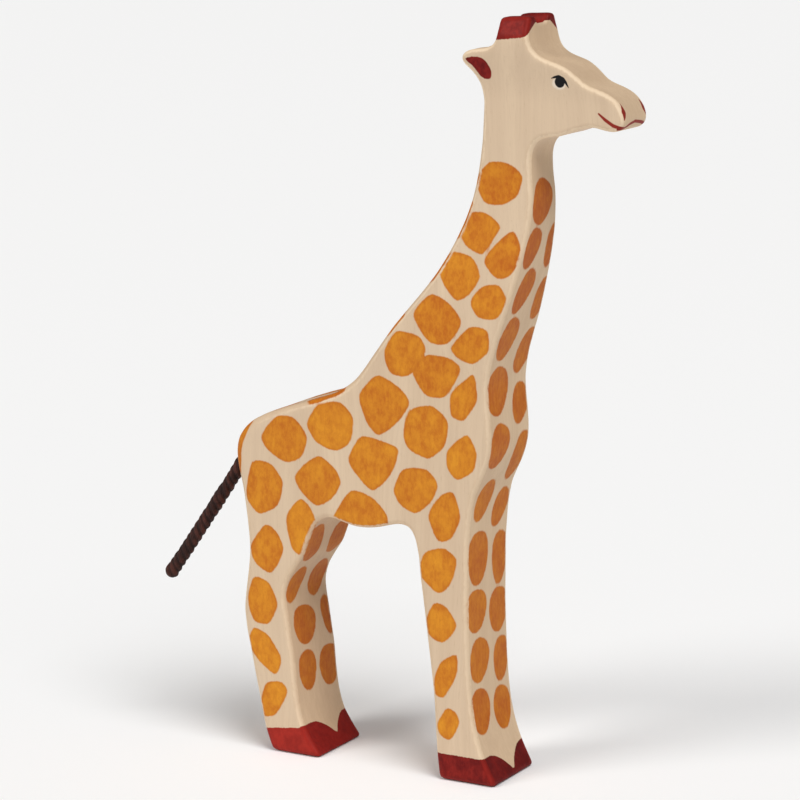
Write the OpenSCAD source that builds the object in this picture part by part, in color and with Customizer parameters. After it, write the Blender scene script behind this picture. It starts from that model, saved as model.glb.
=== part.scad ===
// Wooden giraffe figure: one sawn and softened body with a blind hole in its
// rump, and a stiff cord tail that is glued into the hole.
// +X points to the nose, Y runs through the thickness and +Z is up. The origin
// is on the ground, under the middle of the body.

/* [Body] */
// Height from the ground to the tops of the horns
body_height = 215; // [178:1:258]
// Height of the belly above the ground
leg_height = 72; // [62:1:84]
// Length from the rump to the muzzle
body_length = 118; // [98:0.1:142]
// Thickness of the board, kept at the legs and the trunk
board_thickness = 25; // [20:0.1:32]
// Radius of the softened edges round both side faces
edge_radius = 1.4; // [0.6:0.02:1.7]

/* [Neck and head] */
// Thickness of the upper neck and the muzzle
neck_thickness = 15.4; // [12:0.2:19]
// Thickness across the ears and the feet of the horns
crown_thickness = 20; // [16:0.5:25]
// Thickness across the tops of the horns
horn_top_thickness = 15.8; // [13:0.2:19]
// Width of the groove that parts the two horns
horn_groove_width = 7.6; // [4:0.2:9]
// Depth of the groove that parts the two horns
horn_groove_depth = 2.3; // [1:0.1:4]
// Width of the groove that parts the two ears
ear_groove_width = 8; // [4:0.5:10]
// Depth of the groove that parts the two ears
ear_groove_depth = 2.8; // [1:0.1:3.2]

/* [Tail] */
// Diameter of the tail cord
cord_diameter = 4; // [3:0.1:5]
// Thickness of the glue between the cord and the wall of its hole
glue_thickness = 0.5; // [0.3:0.05:1]
// Depth of the hole to the shoulder of its drill point
hole_depth = 12; // [8:0.5:14]

/* [Hidden] */

wood_colour = "#e9d3b0";
cord_colour = "#3b2118";
glue_colour = "#d9c58e";

// The sizes at which the outline below was drawn.
drawn_height = 215;
drawn_leg = 72;
drawn_length = 118;

// Outline of the body from its right side, clockwise from the back of the head:
// [x, z, corner]. A point with a 1 is a corner, and the curve runs smoothly
// through the others. Each section ends where the next one starts.
ear_and_horns = [
    [16, 196, 0], [13.5, 199.8, 0], [10.6, 202.6, 0], [11.4, 204.6, 0], [16, 205.8, 0],
    [20.6, 207, 0], [21.7, 209, 0], [21.8, 214.4, 1], [31, 215, 1], [31, 210, 0]
];
face = [
    [32.5, 206, 0], [35.5, 204, 0], [40.5, 202.5, 0], [44.5, 200, 0], [47.5, 197.5, 0],
    [52, 196, 0], [56, 194, 0], [58.3, 191, 0], [59, 188, 0], [58, 186, 0],
    [55, 185.2, 0], [49, 186.2, 0], [43.5, 184.5, 0], [39, 183, 0], [34.5, 182.4, 0],
    [31.8, 180, 0]
];
throat = [[31, 176, 0], [31.8, 167, 0]];
neck_front = [[31.3, 157, 0], [28.5, 144, 0]];
neck_foot = [[25, 131, 0], [22, 121, 0]];
chest = [[20.8, 113, 0], [21.6, 104, 0], [21.8, 96, 0], [20, 89.5, 0], [17, 83, 0]];
front_leg = [
    [15.5, 75, 0], [15, 58, 0], [15.3, 40, 0], [16.2, 25, 0], [18, 14.5, 0],
    [20.2, 8, 0], [24.4, 0, 1], [6.4, 0, 1], [5.7, 6, 0], [4.6, 22, 0],
    [2.2, 42, 0], [0, 58, 0], [-1.7, 68.5, 0]
];
belly = [
    [-3.6, 71.6, 0], [-7, 72, 0], [-13, 70.4, 0], [-20, 69.6, 0], [-25, 70.5, 0],
    [-29, 71.4, 0]
];
rear_leg = [
    [-32.8, 70, 0], [-35.5, 65.5, 0], [-38, 59, 0], [-42.6, 52, 0], [-44.1, 47, 0],
    [-43.2, 40, 0], [-41.2, 27, 0], [-40, 16, 0], [-38, 8.5, 0], [-32.2, 0, 1],
    [-48.4, 0, 1], [-50.5, 5.5, 0], [-52.6, 15, 0], [-55.4, 28, 0], [-57.6, 41, 0],
    [-56.6, 50, 0], [-55.7, 58, 0]
];
rump = [
    [-56.3, 67, 0], [-58, 77.5, 0], [-59, 85.5, 0], [-57.8, 91.5, 0], [-54, 96.3, 0],
    [-46, 100.6, 0], [-36, 104.2, 0], [-27, 107.6, 0], [-21, 111.8, 0]
];
withers = [[-16, 118.3, 0], [-9, 128, 0]];
neck_back = [[-2, 136.3, 0], [4, 144, 0]];
nape = [[9, 152.8, 0], [13, 163, 0]];
nape_top = [[15.3, 174, 0], [16.5, 186, 0]];
sections = [
    ear_and_horns, face, throat, neck_front, neck_foot, chest, front_leg, belly,
    rear_leg, rump, withers, neck_back, nape, nape_top
];
outline_points = [for (section = sections, point = section) point];
outline_steps = 2;

// Regions of a side face, each bounded by these sections and straight cuts.
regions = [[0], [13, 1], [12, 2], [11, 3], [10, 4], [5, 7, 9], [6], [8]];

// Levels, as drawn, where the ears start and where the thickness changes.
ear_root_level = 197;
neck_base_level = 122;
throat_level = 176;
cheek_level = 192;
crown_level = 209;

// Steps of the quarter circle that rounds an edge.
edge_steps = 3;
cut_margin = 5;
hole_facets = 48;

// Tail: where it leaves the rump and how far it slopes down there.
drawn_tail_exit = [-59, 86.2];
tail_slope = 31;
drill_point_angle = 118;
cord_sides = 10;
glue_recess = 2.4;

// Route of the free cord from the rump to its sealed end, [x, z] at y = 0.
cord_route = [
    [-59, 86.2], [-61, 85], [-62.7, 83.8], [-64.2, 82.3], [-65.6, 80.4], [-67, 78.3],
    [-69, 75.4], [-71, 72.5], [-73, 69.6], [-75, 66.7], [-77, 63.8], [-79, 60.9],
    [-81, 58], [-83, 55.1], [-85, 52.3], [-87, 49.5], [-89, 46.7], [-91, 43.9]
];

// A drawn point at the sizes set above. Legs and trunk stretch by themselves.
function level(z) =
    z < drawn_leg
    ? z * leg_height / drawn_leg
    : leg_height + (z - drawn_leg) * (body_height - leg_height) / (drawn_height - drawn_leg);
function placed(p) = [p[0] * body_length / drawn_length, level(p[1])];

// Smooth step from a to b as z goes from low to high.
function eased(a, b, low, high, z) =
    let (t = min(1, max(0, (z - low) / (high - low))))
    a + (b - a) * (1 - cos(180 * t)) / 2;

// Half of the thickness at a height, which a carver thins from the front.
function half_thickness(z) =
    z < level(throat_level)
    ? eased(board_thickness, neck_thickness, level(neck_base_level), level(throat_level), z) / 2
    : z < level(crown_level)
    ? eased(neck_thickness, crown_thickness, level(cheek_level), level(crown_level), z) / 2
    : eased(crown_thickness, horn_top_thickness, level(crown_level), body_height, z) / 2;

// Places that follow from the sizes above.
ear_tip = placed(ear_and_horns[2]);
tail_exit = placed(drawn_tail_exit);
tail_shift = tail_exit - drawn_tail_exit;
hole_diameter = cord_diameter + 2 * glue_thickness;
cord_depth = hole_depth - glue_thickness;
cord_start = tail_exit + cord_depth * [cos(tail_slope), sin(tail_slope)];
fit_gap = 0.04;

// Direction of the curve at point b, from its neighbours a and c.
function direction(a, b, c) =
    let (before = norm(b - a), after = norm(c - b))
    ((b - a) / before * after + (c - b) / after * before) / (before + after);

// Point at t between b and c on the smooth curve through a, b, c and d.
function between(a, b, c, d, sharp_b, sharp_c, t) =
    let (
        span = norm(c - b),
        leave = span * (sharp_b ? (c - b) / span : direction(a, b, c)),
        arrive = span * (sharp_c ? (c - b) / span : direction(b, c, d))
    )
    (2 * t ^ 3 - 3 * t ^ 2 + 1) * b + (t ^ 3 - 2 * t ^ 2 + t) * leave
    + (3 * t ^ 2 - 2 * t ^ 3) * c + (t ^ 3 - t ^ 2) * arrive;

// Closed curve through drawn points, with the given number of steps from each
// point to the next.
function closed_curve(points, steps) =
    let (n = len(points), at = [for (p = points) placed(p)])
    [
        for (i = [0:n - 1], s = [0:steps - 1])
            between(
                at[(i + n - 1) % n], at[i], at[(i + 1) % n], at[(i + 2) % n],
                points[i][2] == 1, points[(i + 1) % n][2] == 1, s / steps
            )
    ];

// Inward normal at each point of a clockwise curve, lengthened at a corner so
// that both edges move in by the same amount.
function inward(curve) =
    let (n = len(curve))
    [
        for (i = [0:n - 1])
            let (
                into = curve[i] - curve[(i + n - 1) % n],
                out = curve[(i + 1) % n] - curve[i],
                a = [into[1], -into[0]] / norm(into),
                b = [out[1], -out[0]] / norm(out),
                both = a + b
            )
            2 * both / (both * both)
    ];

// Index on the curve of the first point of a section.
function section_start(s) = s == 0 ? 0 : section_start(s - 1) + outline_steps * len(sections[s - 1]);

// Closed loop of curve indices round a region.
function region_loop(region, n) =
    [
        for (k = [0:len(region) - 1])
            let (
                s = region[k],
                next = region[(k + 1) % len(region)],
                joined = next == (s + 1) % len(sections) && len(region) > 1
            )
            for (i = [section_start(s):section_start(s + 1) - (joined ? 1 : 0)]) i % n
    ];

// Positive when the path from a through b to c turns left.
function turn(a, b, c) = (b[0] - a[0]) * (c[1] - a[1]) - (b[1] - a[1]) * (c[0] - a[0]);
function covered(p, a, b, c) = turn(a, b, p) <= 0 && turn(b, c, p) <= 0 && turn(c, a, p) <= 0;

// Is the loop's second point the tip of an ear that can be clipped off?
function is_ear(at, loop) =
    let (a = at[loop[0]], b = at[loop[1]], c = at[loop[2]])
    turn(a, b, c) < 0
    && len([for (k = [3:1:len(loop) - 1]) if (covered(at[loop[k]], a, b, c)) k]) == 0;
function turned(loop, by) = [for (k = [0:len(loop) - 1]) loop[(k + by) % len(loop)]];

// Triangles of a clockwise loop, by clipping ears all the way round it.
function triangles(at, loop) =
    len(loop) == 3
    ? [loop]
    : is_ear(at, loop)
    ? concat(
        [[loop[0], loop[1], loop[2]]],
        triangles(at, turned([for (k = [0:len(loop) - 1]) if (k != 1) loop[k]], 1))
    )
    : triangles(at, turned(loop, 1));

// The board cut to a closed curve, thinned by half_thickness(), with the edges
// of both side faces rounded.
module softened_board(curve, radius) {
    n = len(curve);
    normals = inward(curve);
    turns = [for (s = [0:edge_steps]) 90 * s / edge_steps];
    rings = concat(
        [for (s = [0:edge_steps]) [-1, turns[s]]],
        [for (s = [edge_steps:-1:0]) [1, turns[s]]]
    );
    points = [
        for (ring = rings, i = [0:n - 1])
            let (
                p = curve[i] + normals[i] * radius * (1 - sin(ring[1])),
                y = half_thickness(curve[i][1]) - radius * (1 - cos(ring[1]))
            )
            [p[0], ring[0] * y, p[1]]
    ];
    walls = [
        for (r = [0:len(rings) - 2], i = [0:n - 1])
            let (a = r * n + i, b = r * n + (i + 1) % n)
            for (triangle = [[a, a + n, b], [b, a + n, b + n]]) triangle
    ];
    side = [for (region = regions) each triangles(curve, region_loop(region, n))];
    near_side = [for (t = side) [t[0], t[1], t[2]]];
    far_side = [for (t = side) (len(rings) - 1) * n * [1, 1, 1] + [t[0], t[2], t[1]]];
    polyhedron(points, concat(near_side, far_side, walls), convexity = 8);
}

// A groove with round corners at its bottom, along +X from the origin.
module groove(width, depth, length) {
    corner = depth / 2;
    rotate([90, 0, 90])
        linear_extrude(length)
            union() {
                translate([-width / 2, -depth + corner])
                    square([width, depth - corner + cut_margin]);
                translate([-width / 2 + corner, -depth])
                    square([width - 2 * corner, depth + cut_margin]);
                for (side = [-1, 1])
                    translate([side * (width / 2 - corner), -depth + corner])
                        circle(r = corner, $fn = 32);
            }
}

// The shape that a drill leaves, from the rump inwards. It starts outside the
// wood by the margin, or inside it where that is negative.
module drilled(diameter, depth, margin) {
    radius = diameter / 2;
    tip = radius / tan(drill_point_angle / 2);
    in_tail_hole()
        rotate_extrude($fn = hole_facets)
            polygon([[0, -margin], [radius, -margin], [radius, depth], [0, depth + tip]]);
}

// Moves +Z from the origin onto the axis of the tail hole, pointing inwards.
module in_tail_hole() {
    translate([tail_exit[0], 0, tail_exit[1]])
        rotate([0, 90 - tail_slope, 0])
            children();
}

module body() {
    color(wood_colour)
        difference() {
            softened_board(closed_curve(outline_points, outline_steps), edge_radius);
            translate([0, 0, body_height])
                groove(horn_groove_width, horn_groove_depth, body_length);
            translate([ear_tip[0], 0, level(ear_root_level)])
                rotate([0, -90, 0])
                    groove(ear_groove_width, ear_groove_depth, body_height);
            drilled(hole_diameter, hole_depth, cut_margin);
        }
}

// Cord swept along a route in the XZ plane, as one polyhedron of flat sides.
module swept_cord(route, diameter) {
    last = len(route) - 1;
    points = [
        for (k = [0:last])
            let (
                along = route[min(last, k + 1)] - route[max(0, k - 1)],
                up = [-along[1], along[0]] / norm(along)
            )
            for (s = [0:cord_sides - 1])
                let (
                    angle = 360 * s / cord_sides,
                    p = route[k] + up * diameter / 2 * cos(angle)
                )
                [p[0], diameter / 2 * sin(angle), p[1]]
    ];
    sides = [
        for (k = [0:last - 1], s = [0:cord_sides - 1])
            let (a = k * cord_sides + s, b = k * cord_sides + (s + 1) % cord_sides)
            for (triangle = [[a, b, a + cord_sides], [b, b + cord_sides, a + cord_sides]]) triangle
    ];
    start_cap = [for (s = [1:cord_sides - 2]) [0, s + 1, s]];
    end_cap = [for (t = start_cap) last * cord_sides * [1, 1, 1] + [t[0], t[2], t[1]]];
    polyhedron(points, concat(start_cap, sides, end_cap));
}

module tail_cord() {
    color(cord_colour)
        swept_cord(concat([cord_start], [for (p = cord_route) p + tail_shift]), cord_diameter);
}

// The set glue: a thin cup round the end of the cord, filling the drill point.
module tail_glue() {
    color(glue_colour)
        difference() {
            drilled(hole_diameter - 2 * fit_gap, hole_depth - fit_gap, -glue_recess);
            in_tail_hole()
                cylinder(h = cord_depth + fit_gap, d = cord_diameter + 2 * fit_gap, $fn = hole_facets);
        }
}

body();
tail_cord();
tail_glue();
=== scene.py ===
"""Looks of a painted wooden giraffe figure with a twisted cord for a tail.

The sizes come from the CAD frame, in metres. Drawn sizes in this file are in
millimetres, with +X to the nose, Y through the board and +Z up.
"""

import logging
import math
import random
from dataclasses import dataclass
from enum import Enum
from typing import Callable, Sequence

import bmesh
import bpy
import numpy as np
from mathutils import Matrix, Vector, noise
from mathutils.geometry import delaunay_2d_cdt
from mathutils.kdtree import KDTree

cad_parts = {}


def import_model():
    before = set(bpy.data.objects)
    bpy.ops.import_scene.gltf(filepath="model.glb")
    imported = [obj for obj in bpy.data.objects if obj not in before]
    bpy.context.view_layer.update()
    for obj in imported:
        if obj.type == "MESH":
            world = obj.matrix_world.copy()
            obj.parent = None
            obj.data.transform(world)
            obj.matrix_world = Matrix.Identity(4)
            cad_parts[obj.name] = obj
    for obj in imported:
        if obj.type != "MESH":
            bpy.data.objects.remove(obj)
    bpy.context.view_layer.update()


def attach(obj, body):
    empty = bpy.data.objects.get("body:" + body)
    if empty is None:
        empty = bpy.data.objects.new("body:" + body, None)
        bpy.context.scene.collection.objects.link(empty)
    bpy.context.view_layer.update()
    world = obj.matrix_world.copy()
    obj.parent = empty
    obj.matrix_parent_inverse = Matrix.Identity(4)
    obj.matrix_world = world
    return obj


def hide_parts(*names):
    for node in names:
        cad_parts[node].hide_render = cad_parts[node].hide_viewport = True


LOG = logging.getLogger("giraffe")
MM = 0.001
SEED = 27
FAR = 9.0  # Stored where a mark is too far away to matter.

Colour = tuple[float, float, float]
Point = tuple[float, float]
Point3 = tuple[float, float, float]
Socket = bpy.types.NodeSocket
Sockets = dict[str, Socket]


class Layer(Enum):
    """Vertex attributes that carry the painted marks, the softened edges and the sawn faces."""

    SPOT = "spot_edge"
    TONE = "spot_tone"
    RED = "red_edge"
    LINE = "line_edge"
    EYE = "eye_edge"
    HALO = "halo_edge"
    ROUND = "rounded_edge"
    SAWN = "sawn_face"


class Face(Enum):
    """Sawn faces that run through the thickness of the board."""

    FRONT = "front"
    REAR_LEG_FRONT = "rear_leg_front"
    NAPE = "nape"
    BACK = "back"
    RUMP = "rump"
    BELLY = "belly"
    FRONT_LEG_REAR = "front_leg_rear"


@dataclass(frozen=True)
class Board:
    """How thick the figure is at each height.

    Args:
        trunk: Half thickness of the legs and the trunk.
        neck: Half thickness of the upper neck and the muzzle.
        crown: Half thickness across the ears and the feet of the horns.
        horns: Half thickness across the tops of the horns.
        edge: Radius of the softened edges.
        height: Height of the figure.
        thinning: Heights between which the neck thins.
        flare: Heights between which the head widens to the ears.
    """

    trunk: float = 12.5
    neck: float = 7.7
    crown: float = 10.0
    horns: float = 7.9
    edge: float = 1.4
    height: float = 215.0
    thinning: Point = (122.0, 176.0)
    flare: Point = (192.0, 209.0)

    def half(self, z: np.ndarray) -> np.ndarray:
        """Half thickness at some heights.

        Args:
            z: Heights above the ground.

        Returns:
            The half thickness at each height.
        """

        def ease(a: float, b: float, low: float, high: float) -> np.ndarray:
            """Pass gently from one half thickness to another between two heights."""
            t = np.clip((z - low) / (high - low), 0, 1)
            return a + (b - a) * (1 - np.cos(np.pi * t)) / 2

        neck, crown = self.thinning[1], self.flare[1]
        lower = ease(self.trunk, self.neck, *self.thinning)
        upper = ease(self.neck, self.crown, *self.flare)
        top = ease(self.crown, self.horns, crown, self.height)
        return np.where(z < neck, lower, np.where(z < crown, upper, top))


@dataclass(frozen=True)
class Blob:
    """A stained spot on a side face.

    Args:
        points: Its outline in x and z, clockwise or not, drawn as a soft curve.
    """

    points: tuple[Point, ...]


@dataclass(frozen=True)
class Leaf:
    """A long spot on a face that runs through the thickness.

    Args:
        y: Place across the board.
        z: Height of its middle, or its x on the back and the belly.
        long: Its length.
        wide: Its width.
        lean: How far its top leans to +Y, in degrees.
    """

    y: float
    z: float
    long: float
    wide: float
    lean: float = 0.0


@dataclass(frozen=True)
class HoofLine:
    """Upper edge of a hoof's stain, which dips on the front of the leg.

    Args:
        low: Its height at the heel.
        slope: How much it rises for each millimetre forwards.
        heel: The x from which it rises.
        high: Its greatest height.
        tilt: How much it falls towards +Y on the front.
        notch: Depth of the dip.
        middle: The dip's place across the leg.
        reach: Half of the dip's width.
    """

    low: float
    slope: float
    heel: float
    high: float
    tilt: float
    notch: float
    middle: float
    reach: float

    def height(self, x: np.ndarray, y: np.ndarray, facing: np.ndarray) -> np.ndarray:
        """Height of the edge at some points.

        Args:
            x: Their x.
            y: Their y.
            facing: How far each is on the front of the leg, 0 to 1.

        Returns:
            The heights.
        """
        edge = np.minimum(self.low + self.slope * (x - self.heel), self.high)
        dip = np.maximum(0, 1 - np.abs(y - self.middle) / self.reach) ** 2
        return edge - (self.tilt * y + self.notch * dip) * facing


@dataclass(frozen=True)
class Patch:
    """Evenly spaced points for the mesh of a side face.

    Args:
        low: Its lower left corner in x and z.
        high: Its upper right corner.
        step: Distance between points in a row.
        rise: Distance between rows.
        margin: Least distance from the profile.
        nudge: How far all of it is moved along x.
    """

    low: Point
    high: Point
    step: float
    rise: float
    margin: float
    nudge: float = 0.0

    def points(self) -> np.ndarray:
        """Work out all of its points.

        Returns:
            The points, with every second row moved by half a step.
        """
        xs = np.arange(self.low[0], self.high[0], self.step) + self.nudge
        zs = np.arange(self.low[1], self.high[1], self.rise)
        return np.array([(x + self.step / 2 * (k % 2), z) for k, z in enumerate(zs) for x in xs])


# Places along x that part the rear leg from the front one, and the ears from the horns.
BETWEEN_LEGS = -20
BEHIND_HORNS = 21
FRONT_HOOF = HoofLine(7.6, 0.0, 0.0, 7.6, 0.0, 6.0, 1.2, 10.0)
REAR_HOOF = HoofLine(7.4, 0.14, -44.0, 8.7, 0.04, 5.2, 2.0, 9.0)
# Finer mesh for the brush strokes of the mouth and the eye.
MOUTH_PATCH = Patch((50.5, 184.5), (60.5, 192.5), 0.3, 0.26, 0.45, 0.07)
EYE_PATCH = Patch((36.9, 195.6), (43.9, 200.4), 0.3, 0.26, 0.45, 0.07)

SIDE_SPOTS: tuple[Blob, ...] = tuple(
    Blob(points)
    for points in (
        # Neck, from the top down.
        ((15, 170), (19, 175), (25, 175), (29, 172), (28, 167), (24, 164), (18, 164)),
        ((11, 156), (14, 161), (19, 161), (23, 158), (21, 154), (18, 150), (13, 152)),
        ((27, 157), (30, 151), (27, 145), (23, 144), (19, 148), (21, 152)),
        ((5, 146), (9, 150), (15, 149), (18, 144), (15, 139), (11, 137), (7, 141)),
        ((15.5, 137), (19, 141.5), (24, 142), (26.5, 138), (23.5, 133), (18, 133)),
        ((-2, 132), (3, 138), (9, 136), (13, 131), (9, 125), (3, 125)),
        ((10, 124), (15.5, 130), (21, 129.5), (21.5, 124), (17, 120), (12.5, 121)),
        ((-11, 121), (-7, 127), (0, 126), (2, 122), (-3, 115), (-9, 115)),
        ((-2, 116), (2, 121), (9, 121), (13, 118), (8, 110), (2, 110)),
        ((17, 117), (18, 110), (14, 104), (10, 105), (10, 111), (14, 115)),
        # Trunk, row by row from the withers.
        ((-19, 108), (-13, 114), (-6, 111), (-3, 107), (-7, 101), (-13, 97), (-17, 101)),
        ((-5, 98), (-3, 105), (4, 107), (9, 103), (8, 96), (3, 92), (-3, 94)),
        ((-36, 98), (-32, 104), (-25, 105), (-21, 101), (-22, 94), (-27, 91), (-33, 93)),
        ((-51, 93), (-46, 99), (-40, 99), (-36, 94), (-38, 88), (-43, 86), (-49, 89)),
        ((-22.5, 89), (-18.5, 96), (-12, 95.5), (-6.5, 93.5), (-9, 86), (-14.5, 81), (-19, 84)),
        ((9, 95), (15, 100), (18, 95), (17, 90), (12, 87), (9, 90)),
        ((-56, 78), (-54, 85), (-48, 85), (-44, 80), (-46, 73), (-52, 70), (-56, 74)),
        ((-40, 82), (-37, 86), (-32, 89), (-27, 86), (-25, 82), (-28, 77), (-33, 74.5), (-38, 78)),
        ((-8, 82), (-5, 88), (2, 89), (6, 85), (4, 80), (-1, 76), (-6, 78)),
        ((-28, 71), (-22, 80), (-15, 79), (-10, 74), (-11, 68), (-20, 66), (-27, 67)),
        ((3, 76), (7, 82), (11, 83), (13, 76), (10, 70), (6, 69)),
        # Rear leg.
        ((-43, 70), (-38, 76), (-34, 72), (-33, 66), (-36, 59), (-41, 61)),
        ((-55, 60), (-50, 67), (-46, 65), (-44, 60), (-48, 53), (-53, 55)),
        ((-56, 44), (-54, 51), (-49, 50), (-46, 44), (-49, 38), (-54, 38)),
        ((-56, 31), (-54, 36), (-49, 34), (-45, 28), (-47, 23), (-52, 26)),
        ((-52, 14), (-50, 20), (-45, 21), (-43, 18), (-47, 11), (-51, 10)),
        # Front leg.
        ((0, 59), (2, 65), (8, 67), (12, 64), (10, 57), (6, 54)),
        ((2, 45), (5, 51), (9, 50), (12, 45), (8, 40), (4, 41)),
        ((5, 29), (7, 34), (12, 37), (12, 31), (8, 24), (5, 25)),
        ((6, 16), (9, 21), (12, 20), (13, 17), (10, 12), (7, 13)),
    )
)

LEAVES: dict[Face, tuple[Leaf, ...]] = {
    Face.FRONT: (
        Leaf(-1, 164, 13, 11, 30),
        Leaf(-4, 152, 12, 8.5, 22),
        Leaf(8, 151, 13, 7, 5),
        Leaf(-3, 139.5, 14, 8.5, 32),
        Leaf(9, 136, 13, 8, 20),
        Leaf(-5, 126, 13, 10, 25),
        Leaf(8, 121, 14, 9, 32),
        Leaf(-6, 111.5, 14, 12, 25),
        Leaf(7, 106, 12, 9, 30),
        Leaf(-6, 96, 13, 11, 25),
        Leaf(8, 91, 15, 9, 15),
        Leaf(-5, 80.5, 13, 9, 28),
        Leaf(6, 76, 12, 8, 32),
        Leaf(-5.6, 63.5, 15.5, 12, 5),
        Leaf(7.4, 61, 15.5, 9, 5),
        Leaf(-6.6, 48.5, 12.5, 12, 8),
        Leaf(6.6, 46, 13, 11, 10),
        Leaf(-5.5, 34, 13, 11, 25),
        Leaf(7.4, 32, 13, 9, 12),
        Leaf(-7, 20, 13, 11, 10),
        Leaf(5.4, 18, 12.5, 10, 14),
    ),
    Face.REAR_LEG_FRONT: (
        Leaf(-7.5, 62, 13, 10, -20),
        Leaf(7, 61, 11, 10, 10),
        Leaf(-7, 49, 11.5, 8, 30),
        Leaf(5.5, 48.5, 11.5, 9, 30),
        Leaf(-3, 36, 11.5, 12, 10),
        Leaf(9.8, 36, 12, 6, -8),
        Leaf(-4.4, 23, 12, 9.5, 0),
        Leaf(7.6, 22, 12, 11, 5),
    ),
    Face.NAPE: (
        Leaf(3, 172, 12, 6, 10),
        Leaf(-7, 158, 13, 7, -6),
        Leaf(6, 151, 12, 8, 8),
        Leaf(-7, 143, 12, 8, -8),
        Leaf(7, 136, 12, 8, 6),
        Leaf(-8, 128, 14, 9, -6),
        Leaf(7, 121, 12, 8, 10),
    ),
    Face.BACK: (
        Leaf(-9, -30, 15, 10, 6),
        Leaf(6, -25.5, 10, 9, -10),
        Leaf(6, -40, 13, 9, 10),
        Leaf(-6, -47, 10, 8, -8),
    ),
    Face.RUMP: (
        Leaf(-10.5, 89.5, 16, 9, 4),
        Leaf(8, 88, 13, 7, -8),
        Leaf(-7, 74, 13, 8, 6),
        Leaf(7, 70, 13, 8, 8),
        Leaf(-6, 58, 14, 9, -8),
        Leaf(6, 52, 13, 9, 6),
        Leaf(-6, 42, 13, 9, 8),
        Leaf(7, 34, 13, 8, -8),
        Leaf(-6, 25, 13, 9, 6),
        Leaf(6, 18, 11, 8, 0),
    ),
    Face.BELLY: (Leaf(6, -14, 11, 8, 15), Leaf(5, -26, 9, 7, -10)),
    Face.FRONT_LEG_REAR: (
        Leaf(-6, 60, 13, 9, 10),
        Leaf(6, 52, 13, 8, -10),
        Leaf(-6, 42, 13, 9, -8),
        Leaf(7, 32, 13, 8, 10),
        Leaf(-6, 22, 13, 9, 5),
    ),
}

EAR_PATCH = Blob(
    (
        (12.5, 203), (14, 203.6), (17, 203.6), (18.7, 202.4), (20, 200),
        (19.6, 198), (18, 197.6), (16.4, 198.5), (15, 200.6), (13, 202.2),
    )
)  # fmt: skip
PUPIL = (40.3, 197.9, 1.45)
# Brush strokes: two places on the face and half of the stroke's width there.
LASH: tuple[Point3, ...] = (
    (37.9, 198.9, 0.12), (39.0, 199.3, 0.32), (40.2, 199.5, 0.45),
    (41.4, 198.9, 0.5), (42.1, 198.0, 0.4), (42.9, 196.5, 0.1),
)  # fmt: skip
MOUTH_SIDE: tuple[Point3, ...] = (
    (51.6, 190.1, 0.25), (53.5, 188.6, 0.45), (55.8, 187.2, 0.5), (59.2, 186.2, 0.45),
)  # fmt: skip
MOUTH_FRONT: tuple[Point3, ...] = (
    (-8.0, 186.2, 0.45), (-5.5, 186.4, 0.4), (-3.2, 187.3, 0.4), (0.0, 187.8, 0.45),
    (4.0, 187.2, 0.45), (8.0, 186.2, 0.4),
)  # fmt: skip
NOSTRIL: tuple[Point3, ...] = ((5.9, 192.9, 0.15), (6.2, 190.8, 0.9), (6.8, 188.7, 0.15))


def spline(b: np.ndarray, c: np.ndarray, m0: np.ndarray, m1: np.ndarray, t: float) -> np.ndarray:
    """Find a point on a smooth curve between two points.

    Args:
        b: Where the curve starts.
        c: Where it ends.
        m0: Its direction at the start.
        m1: Its direction at the end.
        t: How far along it, 0 to 1.

    Returns:
        The point.
    """
    return (
        (2 * t**3 - 3 * t**2 + 1) * b
        + (t**3 - 2 * t**2 + t) * m0
        + (3 * t**2 - 2 * t**3) * c
        + (t**3 - t**2) * m1
    )


def reaches(curve: np.ndarray) -> np.ndarray:
    """Distance along a line of points, from the first to each of them."""
    return np.concatenate([[0], np.cumsum(np.linalg.norm(np.diff(curve, axis=0), axis=1))])


def resampled(curve: np.ndarray, at: np.ndarray) -> np.ndarray:
    """Find points along a line of points in the plane.

    Args:
        curve: The line's points.
        at: Distances along it.

    Returns:
        The points at those distances.
    """
    reach = reaches(curve)
    return np.column_stack([np.interp(at, reach, curve[:, k]) for k in (0, 1)])


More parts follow.
